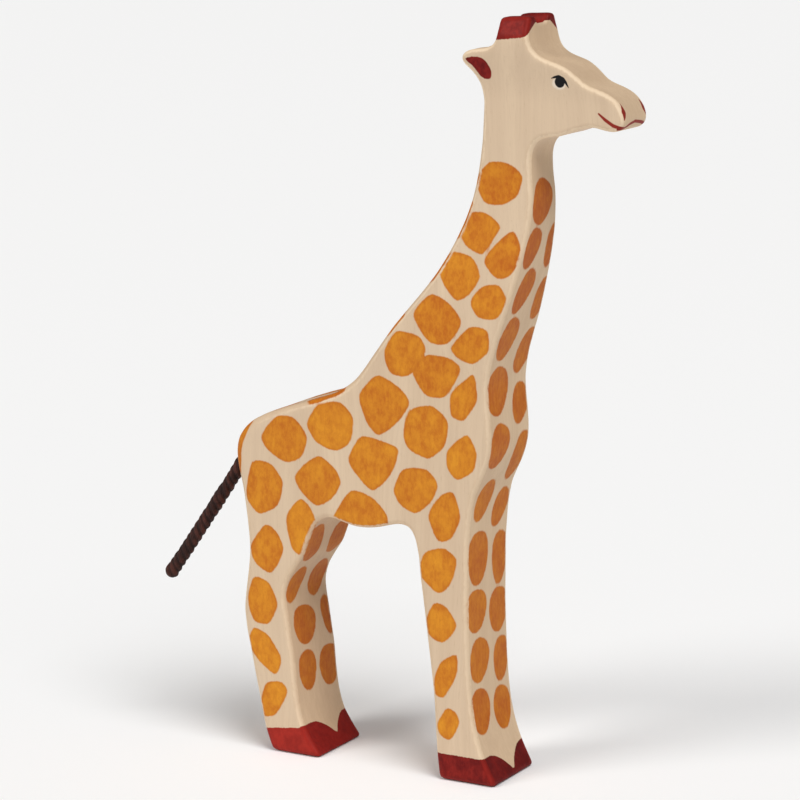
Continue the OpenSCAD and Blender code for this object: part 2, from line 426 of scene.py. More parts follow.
class Outline:
    """Closed profile of the body in the XZ plane, in millimetres."""

    FINEST = 0.1  # Step along the smooth curve before it is resampled.
    SMOOTHING = 15  # Points on each side over which the edge radius is averaged.
    BACK = (90, 125)  # Heights between which a face that looks up is the back.
    BEHIND = (75, 190)  # Heights between which the rear edges are rounder.
    BACK_EXTRA = 0.7  # How much rounder they are.
    RUMP_HEIGHT = 91  # Middle of the rump, which is rounder still.
    RUMP_REACH = 17  # Half of its height.
    RUMP_EXTRA = 1.5  # How much rounder it is.

    def __init__(self, points: np.ndarray) -> None:
        """Take the corners clockwise, and find which way is out at each.

        Args:
            points: Its corners in order, without a repeated last one.
        """
        self.points = points
        area = np.sum(
            points[:, 0] * np.roll(points[:, 1], -1) - np.roll(points[:, 0], -1) * points[:, 1]
        )
        if area > 0:
            self.points = points[::-1].copy()
        along = np.roll(self.points, -1, axis=0) - np.roll(self.points, 1, axis=0)
        along /= np.linalg.norm(along, axis=1)[:, None]
        self.tangents = along
        self.outward = np.column_stack([-along[:, 1], along[:, 0]])
        self.tree = KDTree(len(self.points))
        for i, (x, z) in enumerate(self.points):
            self.tree.insert((x, z, 0), i)
        self.tree.balance()

    @classmethod
    def of_node(cls, node: str, level: float) -> "Outline":
        """Cut a CAD node with a plane of constant Y.

        Args:
            node: Name of the CAD node.
            level: The plane's Y.

        Returns:
            The longest closed line in that plane.
        """
        mesh = bmesh.new()
        mesh.from_mesh(bpy.data.objects[node].data)
        bmesh.ops.remove_doubles(mesh, verts=mesh.verts, dist=1e-6)
        cut = bmesh.ops.bisect_plane(
            mesh,
            geom=mesh.verts[:] + mesh.edges[:] + mesh.faces[:],
            plane_co=(0, level * MM, 0),
            plane_no=(0, 1, 0),
        )["geom_cut"]
        edges = {e for e in cut if isinstance(e, bmesh.types.BMEdge)}
        loops: list[list[Point]] = []
        while edges:
            edge = edges.pop()
            start, here = edge.verts
            loop = [start, here]
            while here is not start:
                edge = next(e for e in here.link_edges if e in edges)
                edges.discard(edge)
                here = edge.other_vert(here)
                loop.append(here)
            loops.append([(v.co.x / MM, v.co.z / MM) for v in loop[:-1]])
        mesh.free()
        # The edges come in no fixed order, so the profile always starts at its rearmost point.
        whole = cls(np.array(max(loops, key=len))).points
        whole = np.roll(whole, -int(np.lexsort(whole.T[::-1])[0]), axis=0)
        kept = [p for i, p in enumerate(whole) if math.dist(p, whole[i - 1]) > 0.2]
        return cls(np.array(kept))

    def softened(self, spacing: float, corner: float, passes: int) -> "Outline":
        """Resample the profile along a smooth curve.

        Args:
            spacing: Distance between the new points.
            corner: Turn in degrees from which a point stays a corner.
            passes: How often the new points are averaged, which rounds corners.

        Returns:
            The finer profile.
        """
        p = self.points
        before = p - np.roll(p, 1, axis=0)
        after = np.roll(p, -1, axis=0) - p
        turn = np.degrees(
            np.abs(
                np.arctan2(
                    before[:, 0] * after[:, 1] - before[:, 1] * after[:, 0],
                    np.sum(before * after, axis=1),
                )
            )
        )
        sharp = turn > corner
        lengths = np.linalg.norm(after, axis=1)
        fine: list[np.ndarray] = []
        for i in range(len(p)):
            a, b, c, d = (p[(i + k) % len(p)] for k in (-1, 0, 1, 2))
            span = lengths[i]
            m0 = after[i] if sharp[i] else self._tangent(a, b, c) * span
            m1 = after[i] if sharp[(i + 1) % len(p)] else self._tangent(b, c, d) * span
            steps = max(1, round(span / self.FINEST))
            fine += [spline(b, c, m0, m1, s / steps) for s in range(steps)]
        curve = np.array([*fine, fine[0]])
        total = reaches(curve)[-1]
        even = resampled(curve, np.linspace(0, total, round(total / spacing), endpoint=False))
        for _ in range(passes):
            even = (np.roll(even, 1, axis=0) + 2 * even + np.roll(even, -1, axis=0)) / 4
        return Outline(even)

    def rump(self) -> np.ndarray:
        """Work out where the rump is.

        Returns:
            How fully each point belongs to the rump round the tail, 0 to 1.
        """
        x, z = self.points.T
        t = np.clip(1 - np.abs(z - self.RUMP_HEIGHT) / self.RUMP_REACH, 0, 1) * (x < -35)
        return t * t * (3 - 2 * t) * np.clip(-self.outward[:, 0], 0, 1)

    def swollen(self, swell: float) -> "Outline":
        """Move the rump outwards.

        Args:
            swell: How far at most.

        Returns:
            The fuller profile.
        """
        return Outline(self.points + self.outward * swell * self.rump()[:, None])

    @staticmethod
    def _tangent(a: np.ndarray, b: np.ndarray, c: np.ndarray) -> np.ndarray:
        """Find the direction of a curve at a point.

        Args:
            a: The point before it.
            b: The point.
            c: The point after it.

        Returns:
            The direction, one millimetre long.
        """
        before, after = np.linalg.norm(b - a), np.linalg.norm(c - b)
        way = (b - a) / before * after + (c - b) / after * before
        return way / (np.linalg.norm(way) + 1e-9)

    def edge_radius(self, at: np.ndarray, base: float) -> np.ndarray:
        """Radius of the softened edge, which is larger along the back.

        Args:
            at: Points in the XZ plane.
            base: The smallest radius.

        Returns:
            The radius at the place of the profile that is nearest to each.
        """
        z = self.points[:, 1]
        back = np.clip(self.outward[:, 1], 0, 1) * (z > self.BACK[0]) * (z < self.BACK[1])
        behind = np.clip(back - self.outward[:, 0], 0, 1)
        behind *= (z > self.BEHIND[0]) * (z < self.BEHIND[1])
        radius = base + self.BACK_EXTRA * behind + self.RUMP_EXTRA * self.rump()
        window, width = self.SMOOTHING, 2 * self.SMOOTHING + 1
        wide = np.concatenate([radius[-window:], radius, radius[:window]])
        return np.convolve(wide, np.ones(width) / width, "valid")[self.nearest(at)]

    def nearest(self, at: np.ndarray) -> np.ndarray:
        """Index of the profile's point nearest to each of some points."""
        return np.array([self.tree.find((x, z, 0))[1] for x, z in at])

    def distance(self, at: np.ndarray) -> np.ndarray:
        """Distance of points in the XZ plane to the profile.

        Args:
            at: The points.

        Returns:
            Distances, positive inside the profile.
        """
        index = self.nearest(at)
        start = self.points[index]
        best = np.full(len(at), np.inf)
        for step in (-1, 1):
            way = self.points[(index + step) % len(self.points)] - start
            off = at - start
            t = np.clip(np.sum(off * way, axis=1) / np.sum(way * way, axis=1), 0, 1)
            best = np.minimum(best, np.linalg.norm(off - t[:, None] * way, axis=1))
        inside = np.sum((at - start) * self.outward[index], axis=1) < 0
        return np.where(inside, best, -best)

    def place(self, face: Face, level: float) -> tuple[np.ndarray, np.ndarray]:
        """Find where a face passes a level.

        Args:
            face: Which sawn face.
            level: Its height, or its x on the back and the belly.

        Returns:
            The nearest point of the profile and the direction along the face
            there, pointing up or forwards.
        """
        x, z = self.points.T
        out_x, out_z = self.outward.T
        if face is Face.FRONT:
            ok = (out_x > 0.3) & (x > 5)
        elif face is Face.REAR_LEG_FRONT:
            ok = (out_x > 0.3) & (x < -25)
        elif face in (Face.NAPE, Face.RUMP):
            ok = (out_x < -0.3) & ((x < -45) | (z > 112))
        elif face is Face.FRONT_LEG_REAR:
            ok = (out_x < -0.3) & (x > -5) & (z < 70)
        elif face is Face.BACK:
            ok = (out_z > 0.5) & (z > 90) & (z < 125)
        else:
            ok = (out_z < -0.5) & (z > 60) & (z < 80)
        by_x = face in (Face.BACK, Face.BELLY)
        miss = np.abs((x if by_x else z) - level)
        best = int(np.argmin(np.where(ok, miss, np.inf)))
        way = self.tangents[best]
        if way[0 if by_x else 1] < 0:
            way = -way
        return self.points[best], way


def signed_distance(at: np.ndarray, polygon: np.ndarray) -> np.ndarray:
    """Signed distance from points to a closed polygon.

    Args:
        at: Points, one row each.
        polygon: Corners in order.

    Returns:
        Distances, negative inside.
    """
    a, b = polygon, np.roll(polygon, -1, axis=0)
    ab = b - a
    length2 = np.maximum(np.sum(ab * ab, axis=1), 1e-12)
    out = np.empty(len(at))
    for start in range(0, len(at), 4096):
        p = at[start : start + 4096, None, :]
        t = np.clip(np.sum((p - a) * ab, axis=2) / length2, 0, 1)
        near = np.linalg.norm(p - a - t[..., None] * ab, axis=2).min(axis=1)
        px, pz = p[..., 0], p[..., 1]
        crosses = (a[:, 1] > pz) != (b[:, 1] > pz)
        rise = np.where(ab[:, 1] == 0, 1e-12, ab[:, 1])
        left = px < a[:, 0] + (pz - a[:, 1]) * ab[:, 0] / rise
        inside = np.sum(crosses & left, axis=1) % 2 == 1
        out[start : start + 4096] = np.where(inside, -near, near)
    return out


def soft_polygon(points: Sequence[Point], steps: int = 5, ease: float = 0.75) -> np.ndarray:
    """Closed soft curve through drawn points.

    Args:
        points: The points.
        steps: New points from each one to the next.
        ease: How round the curve is, from 0 for straight sides to 1.

    Returns:
        The curve's points.
    """
    p = np.array(points, dtype=float)
    out = []
    for i in range(len(p)):
        a, b, c, d = (p[(i + k) % len(p)] for k in (-1, 0, 1, 2))
        m0, m1 = (c - a) / 2 * ease, (d - b) / 2 * ease
        out += [spline(b, c, m0, m1, s / steps) for s in range(steps)]
    return np.array(out)


class NodeWriter:
    """Adds shader nodes to one tree and wires them."""

    def __init__(self, tree: bpy.types.NodeTree) -> None:
        """Take a material's or a group's node tree."""
        self.tree = tree

    def add(self, kind: str, **settings: object) -> bpy.types.Node:
        """Add one node.

        Args:
            kind: Node type, without its ShaderNode prefix.
            settings: Values of its properties.

        Returns:
            The node.
        """
        node = self.tree.nodes.new("ShaderNode" + kind)
        for name, value in settings.items():
            setattr(node, name, value)
        return node

    def feed(self, socket: Socket, value: object) -> None:
        """Fill a socket.

        Args:
            socket: The socket.
            value: An output to link, a number or a colour.
        """
        if isinstance(value, Socket):
            self.tree.links.new(value, socket)
        elif isinstance(value, tuple):
            socket.default_value = (*value, 1.0)
        else:
            socket.default_value = value

    def math(self, operation: str, *values: object, clamp: bool = False) -> Socket:
        """Add a Math node.

        Args:
            operation: Its operation.
            values: Numbers or outputs, in order.
            clamp: Whether the result stays between 0 and 1.

        Returns:
            Its output.
        """
        node = self.add("Math", operation=operation, use_clamp=clamp)
        for socket, value in zip(node.inputs, values):
            self.feed(socket, value)
        return node.outputs[0]

    def stretched(self, vector: Socket, by: Point3) -> Socket:
        """Multiply a vector by three factors.

        Args:
            vector: The vector.
            by: The factors.

        Returns:
            The longer or shorter vector.
        """
        node = self.add("VectorMath", operation="MULTIPLY")
        self.feed(node.inputs[0], vector)
        node.inputs[1].default_value = by
        return node.outputs[0]

    def noise(
        self, vector: Socket, scale: float, detail: float = 2.0, rough: float = 0.5
    ) -> Socket:
        """Add a noise texture.

        Args:
            vector: Where it is read.
            scale: Its scale.
            detail: Its detail.
            rough: Its roughness.

        Returns:
            Its value.
        """
        node = self.add("TexNoise")
        self.feed(node.inputs["Vector"], vector)
        node.inputs["Scale"].default_value = scale
        node.inputs["Detail"].default_value = detail
        node.inputs["Roughness"].default_value = rough
        return node.outputs[0]

    def remap(
        self, value: object, low: object, high: object, to_low: float = 0.0, to_high: float = 1.0
    ) -> Socket:
        """Pass smoothly from one number to another as a value rises.

        Args:
            value: The value.
            low: Where the passage starts.
            high: Where it ends.
            to_low: The first number.
            to_high: The second number.

        Returns:
            The number.
        """
        node = self.add("MapRange", interpolation_type="SMOOTHSTEP")
        for name, item in (
            ("Value", value), ("From Min", low), ("From Max", high),
            ("To Min", to_low), ("To Max", to_high),
        ):  # fmt: skip
            self.feed(node.inputs[name], item)
        return node.outputs[0]

    def mix(self, factor: object, a: object, b: object, how: str = "MIX") -> Socket:
        """Add a colour mix.

        Args:
            factor: How much of the second colour there is.
            a: The first colour.
            b: The second colour.
            how: Its blend type.

        Returns:
            The mixed colour.
        """
        node = self.add("Mix", data_type="RGBA", blend_type=how)
        for socket, value in zip((node.inputs[0], node.inputs[6], node.inputs[7]), (factor, a, b)):
            self.feed(socket, value)
        return node.outputs[2]

    def tinted(self, colour: object, factor: object, tint: Colour) -> Socket:
        """Multiply a colour by a tint, as far as the factor says."""
        return self.mix(factor, colour, tint, "MULTIPLY")

    def scaled(self, value: object, by: object) -> Socket:
        """Multiply two numbers."""
        return self.math("MULTIPLY", value, by)

    def bump(self, height: object, strength: float, distance: float) -> Socket:
        """Add a Bump node.

        Args:
            height: What raises the surface.
            strength: How strong it is.
            distance: How high it is, in millimetres.

        Returns:
            The bumped normal.
        """
        node = self.add("Bump")
        node.inputs["Strength"].default_value = strength
        node.inputs["Distance"].default_value = distance * MM
        self.feed(node.inputs["Height"], height)
        return node.outputs[0]

    def attribute(self, name: str) -> Socket:
        """Read a number stored on the mesh."""
        return self.add("Attribute", attribute_name=name).outputs["Fac"]

    def place(self) -> Socket:
        """Object coordinates in millimetres."""
        at = self.add("TexCoord").outputs["Object"]
        return self.stretched(at, (1000.0, 1000.0, 1000.0))


def new_finish(name: str) -> tuple[bpy.types.Material, NodeWriter, bpy.types.Node]:
    """Start a material.

    Args:
        name: Its name.

    Returns:
        The material, a writer of its nodes and its shader.
    """
    material = bpy.data.materials.new(name)
    material.use_nodes = True
    shader = material.node_tree.nodes["Principled BSDF"]
    return material, NodeWriter(material.node_tree), shader


def node_group(
    name: str, inputs: Sequence[str], outputs: Sequence[str]
) -> tuple[bpy.types.NodeTree, Sockets, bpy.types.Node]:
    """Start a shader node group whose sockets are all plain numbers.

    Args:
        name: The group's name.
        inputs: Names of its inputs.
        outputs: Names of its outputs.

    Returns:
        The tree, its inputs by name and its output node.
    """
    tree = bpy.data.node_groups.new(name, "ShaderNodeTree")
    for item in inputs:
        tree.interface.new_socket(item, in_out="INPUT", socket_type="NodeSocketFloat")
    for item in outputs:
        tree.interface.new_socket(item, in_out="OUTPUT", socket_type="NodeSocketFloat")
    source = tree.nodes.new("NodeGroupInput")
    return tree, {s.name: s for s in source.outputs}, tree.nodes.new("NodeGroupOutput")


class Effects:
    """Shader node groups that several finishes share."""

    def __init__(self) -> None:
        """Build each group once."""
        self.grain = self._grain()
        self.stain = self._stain()
        self.mottle = self._mottle()

    def use(self, writer: NodeWriter, group: bpy.types.NodeTree, **inputs: object) -> Sockets:
        """Put a group into a material.

        Args:
            writer: Writer of the material's tree.
            group: One of the groups of this class.
            inputs: Values or outputs for its inputs.

        Returns:
            Its outputs by name.
        """
        node = writer.add("Group", node_tree=group)
        for name, value in inputs.items():
            writer.feed(node.inputs[name], value)
        return {s.name: s for s in node.outputs}

    def _grain(self) -> bpy.types.NodeTree:
        """Make straight vertical wood grain: broad tone, fine streaks and pores.

        Returns:
            The group.
        """
        tree, _, out = node_group("wood_grain", (), ("Tone", "Streak", "Pore", "Height"))
        w = NodeWriter(tree)
        at = w.place()
        bend = w.noise(w.stretched(at, (0.03, 0.03, 0.012)), 1.0, 1.0)
        shift = w.add("VectorMath", operation="ADD")
        w.feed(shift.inputs[0], at)
        lean = w.add("CombineXYZ")
        w.feed(lean.inputs[0], w.scaled(bend, 14.0))
        w.feed(shift.inputs[1], lean.outputs[0])
        bent = shift.outputs[0]
        tone = w.noise(w.stretched(bent, (0.16, 0.12, 0.006)), 1.0, 3.0)
        streak = w.noise(w.stretched(bent, (1.3, 1.1, 0.03)), 1.0, 4.0, 0.6)
        pore = w.noise(w.stretched(bent, (5.0, 5.0, 0.28)), 1.0, 2.0, 0.6)
        pores = w.remap(pore, 0.6, 0.74)
        height = w.math("SUBTRACT", w.scaled(streak, 0.6), w.scaled(pores, 0.5))
        w.feed(out.inputs["Tone"], w.remap(tone, 0.3, 0.7))
        w.feed(out.inputs["Streak"], w.remap(streak, 0.32, 0.7))
        w.feed(out.inputs["Pore"], pores)
        w.feed(out.inputs["Height"], height)
        return tree

    def _stain(self) -> bpy.types.NodeTree:
        """Turn a distance to a mark's edge into stain that bleeds a little.

        Returns:
            The group.
        """
        tree, inputs, out = node_group("stain_edge", ("Edge", "Bleed", "Soft"), ("Mask", "Fringe"))
        w = NodeWriter(tree)
        at = w.place()
        along = w.noise(w.stretched(at, (1.7, 1.7, 0.5)), 1.0, 2.0)
        wander = w.noise(w.stretched(at, (0.25, 0.25, 0.25)), 1.0, 1.0)
        both = w.math("ADD", along, wander)
        moved = w.scaled(w.math("SUBTRACT", both, 1.0), inputs["Bleed"])
        edge = w.math("ADD", inputs["Edge"], moved)
        low = w.scaled(inputs["Soft"], -1.0)
        w.feed(out.inputs["Mask"], w.remap(edge, low, inputs["Soft"], 1.0, 0.0))
        w.feed(out.inputs["Fringe"], w.remap(edge, -1.1, -0.1))
        return tree

    def _mottle(self) -> bpy.types.NodeTree:
        """Make the uneven depth of stain in the wood.

        Returns:
            The group.
        """
        tree, _, out = node_group("stain_mottle", (), ("Cloud", "Fleck"))
        w = NodeWriter(tree)
        at = w.place()
        w.feed(out.inputs["Cloud"], w.remap(w.noise(at, 0.22, 3.0), 0.3, 0.7))
        fleck = w.noise(w.stretched(at, (1.0, 1.0, 0.55)), 1.0, 3.0, 0.65)
        w.feed(out.inputs["Fleck"], w.remap(fleck, 0.35, 0.68))
        return tree


@dataclass(frozen=True)
class Stain:
    """One water stain.

    Args:
        deep: Colour where it soaked in.
        thin: Colour where it lies thin.
        fringe: Colour along its edge.
        soak_and_shade_tint: How it differs on the sawn faces, which soak up more, with painted
            shade added.
    """

    deep: Colour
    thin: Colour
    fringe: Colour
    soak_and_shade_tint: Colour


@dataclass(frozen=True)
class Surface:
    """What the wood's finish reads at each place.

    Args:
        w: Writer of the material's nodes.
        grain: The grain's values.
        mottle: How unevenly stain soaked in.
        wear_and_highlight: How far an edge is sanded bare, which also sets its painted highlight.
        tone: How dark a spot is, or how light the red is.
        sawn: How fully it is a sawn face.
    """

    w: NodeWriter
    grain: Sockets
    mottle: Sockets
    wear_and_highlight: Socket
    tone: Socket
    sawn: Socket


@dataclass(frozen=True)
class PaintedWood:
    """Pale wood with stained marks under a thin satin varnish.

    Args:
        pale: The wood between its darker streaks.
        dark: The wood's darker tone.
        pores: Its open pores.
        wear_and_highlight: Freshly sanded wood along the softened edges, made paler still as a
            painted highlight.
        soak_and_shade_tint: How the sawn faces differ: they soak up more varnish, and the tint
            also paints shade on them.
        spots: Stain of the spots.
        red: Stain of the hooves, the horns and the ears.
        line: Colour of the mouth and the nostrils.
        black: Colour of the eyes.
        white: The pale spot round each eye.
        roughness: Roughness of the varnish.
    """

    pale: Colour = (0.67, 0.515, 0.36)
    dark: Colour = (0.55, 0.405, 0.28)
    pores: Colour = (0.36, 0.22, 0.13)
    wear_and_highlight: Colour = (0.86, 0.71, 0.53)
    soak_and_shade_tint: Colour = (0.985, 0.94, 0.88)
    spots: Stain = Stain(
        (0.46, 0.115, 0.009), (0.71, 0.295, 0.020), (0.43, 0.11, 0.009), (0.95, 0.86, 0.62)
    )
    red: Stain = Stain(
        (0.10, 0.0015, 0.002), (0.36, 0.022, 0.013), (0.09, 0.002, 0.002), (0.72, 0.55, 0.6)
    )
    line: Colour = (0.25, 0.022, 0.014)
    black: Colour = (0.004, 0.004, 0.005)
    white: Colour = (0.80, 0.74, 0.66)
    roughness: float = 0.55

    def build(self, name: str, effects: Effects) -> bpy.types.Material:
        """Make the material.

        Args:
            name: Its name.
            effects: The shared node groups.

        Returns:
            The material.
        """
        material, w, shader = new_finish(name)
        grain = effects.use(w, effects.grain)
        mottle = effects.use(w, effects.mottle)
        # The softened edges lose their stain, and the same mask lightens them as a painted
        # highlight.
        rim = w.attribute(Layer.ROUND.value)
        ragged = w.math("SUBTRACT", rim, w.scaled(mottle["Fleck"], 0.25))
        wear_and_highlight = w.remap(ragged, 0.25, 0.75)
        tone, sawn = w.attribute(Layer.TONE.value), w.attribute(Layer.SAWN.value)
        surface = Surface(w, grain, mottle, wear_and_highlight, tone, sawn)

        def mask(layer: Layer, bleed: float, soft: float) -> Sockets:
            """Stain up to the edge that a layer stores."""
            edge = w.attribute(layer.value)
            return effects.use(w, effects.stain, Edge=edge, Bleed=bleed, Soft=soft)

        spot = mask(Layer.SPOT, 0.38, 0.22)
        bare = w.math("SUBTRACT", 1.0, w.scaled(wear_and_highlight, 0.9))
        stained = self._stained(surface, spot["Fringe"])
        colour = w.mix(w.scaled(spot["Mask"], bare), self._wood(surface), stained)
        colour = w.mix(mask(Layer.RED, 0.4, 0.14)["Mask"], colour, self._reds(surface))
        halo = w.scaled(mask(Layer.HALO, 0.1, 0.25)["Mask"], 0.5)
        colour = w.mix(halo, colour, self.white)
        colour = w.mix(mask(Layer.LINE, 0.1, 0.12)["Mask"], colour, self.line)
        eye = mask(Layer.EYE, 0.06, 0.09)["Mask"]
        w.feed(shader.inputs["Base Color"], w.mix(eye, colour, self.black))

        rough = w.math("ADD", w.scaled(grain["Streak"], 0.08), self.roughness - 0.04)
        rough = w.math("SUBTRACT", rough, w.scaled(eye, 0.2))
        w.feed(shader.inputs["Roughness"], rough)
        shader.inputs["Coat Weight"].default_value = 0.03
        shader.inputs["Coat Roughness"].default_value = 0.3
        shader.inputs["Specular IOR Level"].default_value = 0.13
        w.feed(shader.inputs["Normal"], w.bump(grain["Height"], 0.35, 0.06))
        return material

    def _wood(self, surface: Surface) -> Socket:
        """Colour the bare wood.

        Args:
            surface: What the finish reads.

        Returns:
            The colour.
        """
        w, grain = surface.w, surface.grain
        wood = w.mix(w.scaled(grain["Tone"], 0.5), self.pale, self.dark)
        wood = w.mix(w.scaled(grain["Streak"], 0.30), wood, self.dark)
        wood = w.mix(w.scaled(grain["Pore"], 0.25), wood, self.pores)
        place = w.add("SeparateXYZ")
        w.feed(place.inputs[0], w.place())
        # Painted highlight on the softened edges: they are lightened towards a pale colour, more
        # so from 150 to 190 mm up; partly this is bare sanded wood.
        edge_lightening = w.scaled(surface.wear_and_highlight, w.remap(place.outputs[2], 150.0, 190.0, 0.36, 0.58))
        # The sawn faces are tinted darker and warmer: partly varnish soaking in, partly painted
        # shade.
        return w.tinted(w.mix(edge_lightening, wood, self.wear_and_highlight), surface.sawn, self.soak_and_shade_tint)

    def _stained(self, surface: Surface, fringe: Socket) -> Socket:
        """Colour the spots.

        Args:
            surface: What the finish reads.
            fringe: How near the spot's edge is.

        Returns:
            The colour.
        """
        w, grain, mottle = surface.w, surface.grain, surface.mottle
        depth = w.math("ADD", w.math("ADD", surface.tone, mottle["Fleck"]), mottle["Cloud"])
        stained = w.mix(w.scaled(depth, 0.34), self.spots.thin, self.spots.deep)
        stained = w.mix(w.scaled(fringe, 0.36), stained, self.spots.fringe)
        stained = w.mix(w.scaled(grain["Streak"], 0.12), stained, self.spots.fringe)
        # On the sawn faces the spots are darker and warmer: partly deeper soaking, partly painted
        # shade.
        return w.tinted(stained, surface.sawn, self.spots.soak_and_shade_tint)

    def _reds(self, surface: Surface) -> Socket:
        """Colour the hooves, the horns and the ears.

        Args:
            surface: What the finish reads.

        Returns:
            The colour.
        """
        w, mottle, red = surface.w, surface.mottle, self.red
        lively = w.scaled(w.math("ADD", mottle["Fleck"], mottle["Cloud"]), 0.26)
        lively = w.math("ADD", lively, w.scaled(surface.tone, 0.45))
        # On the sawn faces the red is darker: partly deeper soaking, partly painted shade.
        reds = w.tinted(w.mix(lively, red.deep, red.thin), surface.sawn, red.soak_and_shade_tint)
        # The softened edges are lighter red: partly stain sanded thin, partly a painted highlight.
        return w.mix(w.scaled(surface.wear_and_highlight, 0.35), reds, red.thin)


@dataclass(frozen=True)
class WaxedCord:
    """Stiff dark brown cord.

    Args:
        hollow: Colour between the strands, painted darker as shade.
        ridge: Colour on top of the strands, painted lighter as a highlight.
        roughness: Roughness of the wax.
        yarns: Fine yarns seen round the cord.
        yarn_slant: How much they turn in a millimetre.
    """

    hollow: Colour = (0.010, 0.004, 0.003)
    ridge: Colour = (0.082, 0.024, 0.016)
    roughness: float = 0.6
    yarns: float = 15.0
    yarn_slant: float = 4.2

    def build(self, name: str) -> bpy.types.Material:
        """Make the material.

        Args:
            name: Its name.

        Returns:
            The material.
        """
        material, w, shader = new_finish(name)
        at = w.place()
        patch = w.remap(w.noise(at, 0.35, 3.0), 0.35, 0.7)
        turn = w.math("ARCTAN2", w.attribute("turn_sin"), w.attribute("turn_cos"))
        slant = w.scaled(w.attribute("along"), self.yarn_slant)
        yarn = w.math("SINE", w.math("ADD", w.scaled(turn, self.yarns), slant))
        fibre = w.noise(w.stretched(at, (6.0, 6.0, 3.0)), 1.0, 2.0)
        # Painted shade and highlight: colour runs from dark in the hollows between the strands to
        # light on their tops.
        lift = w.remap(w.attribute("lift"), 0.25, 1.0)
        lift = w.math("ADD", w.scaled(lift, 0.65), 0.35)
        shade = w.scaled(lift, w.math("ADD", w.scaled(patch, 0.7), 0.3))
        shade = w.math("ADD", shade, w.scaled(yarn, 0.09), clamp=True)
        w.feed(shader.inputs["Base Color"], w.mix(shade, self.hollow, self.ridge))
        shader.inputs["Roughness"].default_value = self.roughness
        shader.inputs["Specular IOR Level"].default_value = 0.2
        rise = w.math("ADD", w.scaled(yarn, 0.5), fibre)
        w.feed(shader.inputs["Normal"], w.bump(rise, 0.6, 0.12))
        return material


@dataclass(frozen=True)
class DriedGlue:
    """Yellowish wood glue, clear in places and cloudy in others.

    Args:
        clear: Colour where it is clear.
        cloudy: Colour where it is cloudy.
        roughness: Its least roughness.
    """

    clear: Colour = (0.52, 0.37, 0.15)
    cloudy: Colour = (0.72, 0.60, 0.38)
    roughness: float = 0.28

    def build(self, name: str, effects: Effects) -> bpy.types.Material:
        """Make the material.

        Args:
            name: Its name.
            effects: The shared node groups.

        Returns:
            The material.
        """
        material, w, shader = new_finish(name)
        mottle = effects.use(w, effects.mottle)
        cloud = w.scaled(w.math("ADD", mottle["Cloud"], mottle["Fleck"]), 0.5)
        w.feed(shader.inputs["Base Color"], w.mix(cloud, self.clear, self.cloudy))
        rough = w.math("ADD", w.scaled(mottle["Fleck"], 0.2), self.roughness)
        w.feed(shader.inputs["Roughness"], rough)
        shader.inputs["Coat Weight"].default_value = 0.3
        w.feed(shader.inputs["Normal"], w.bump(mottle["Fleck"], 0.4, 0.1))
        return material


@dataclass(frozen=True)
class PlainFinish:
    """An even finish.

    Args:
        colour: Its colour.
        roughness: Its roughness.
    """

    colour: Colour
    roughness: float

    def build(self, name: str) -> bpy.types.Material:
        """Make the material.

        Args:
            name: Its name.

        Returns:
            The material.
        """
        material, _, shader = new_finish(name)
        shader.inputs["Base Color"].default_value = (*self.colour, 1.0)
        shader.inputs["Roughness"].default_value = self.roughness
        return material


def mesh_object(
    name: str, verts: np.ndarray, faces: Sequence[Sequence[int]], material: bpy.types.Material
) -> bpy.types.Object:
    """Make a smooth mesh object from points in millimetres.

    Args:
        name: Its name.
        verts: Its points.
        faces: Corner indices of its faces.
        material: Its material.

    Returns:
        The object, linked to the scene.
    """
    mesh = bpy.data.meshes.new(name)
    mesh.from_pydata((np.asarray(verts) * MM).tolist(), [], faces)
    mesh.update()
    mesh.materials.append(material)
    mesh.polygons.foreach_set("use_smooth", [True] * len(mesh.polygons))
    obj = bpy.data.objects.new(name, mesh)
    bpy.context.scene.collection.objects.link(obj)
    LOG.info("%s: %d points, %d faces", name, len(mesh.vertices), len(mesh.polygons))
    return obj


def band_faces(rings: int, around: int) -> list[Sequence[int]]:
    """Join rings of points to their next ones.

    Args:
        rings: How many there are.
        around: Points in each.

    Returns:
        Corner indices of the faces.
    """
    return [
        (k * around + s, k * around + t, (k + 1) * around + t, (k + 1) * around + s)
        for k in range(rings - 1)
        for s, t in zip(range(around), [*range(1, around), 0])
    ]


def store(obj: bpy.types.Object, name: str, values: np.ndarray) -> None:
    """Store one number for each vertex.

    Args:
        obj: The mesh object.
        name: Name of the attribute.
        values: One number for each vertex.
    """
    layer = obj.data.attributes.new(name, "FLOAT", "POINT")
    layer.data.foreach_set("value", np.asarray(values, dtype=np.float32))


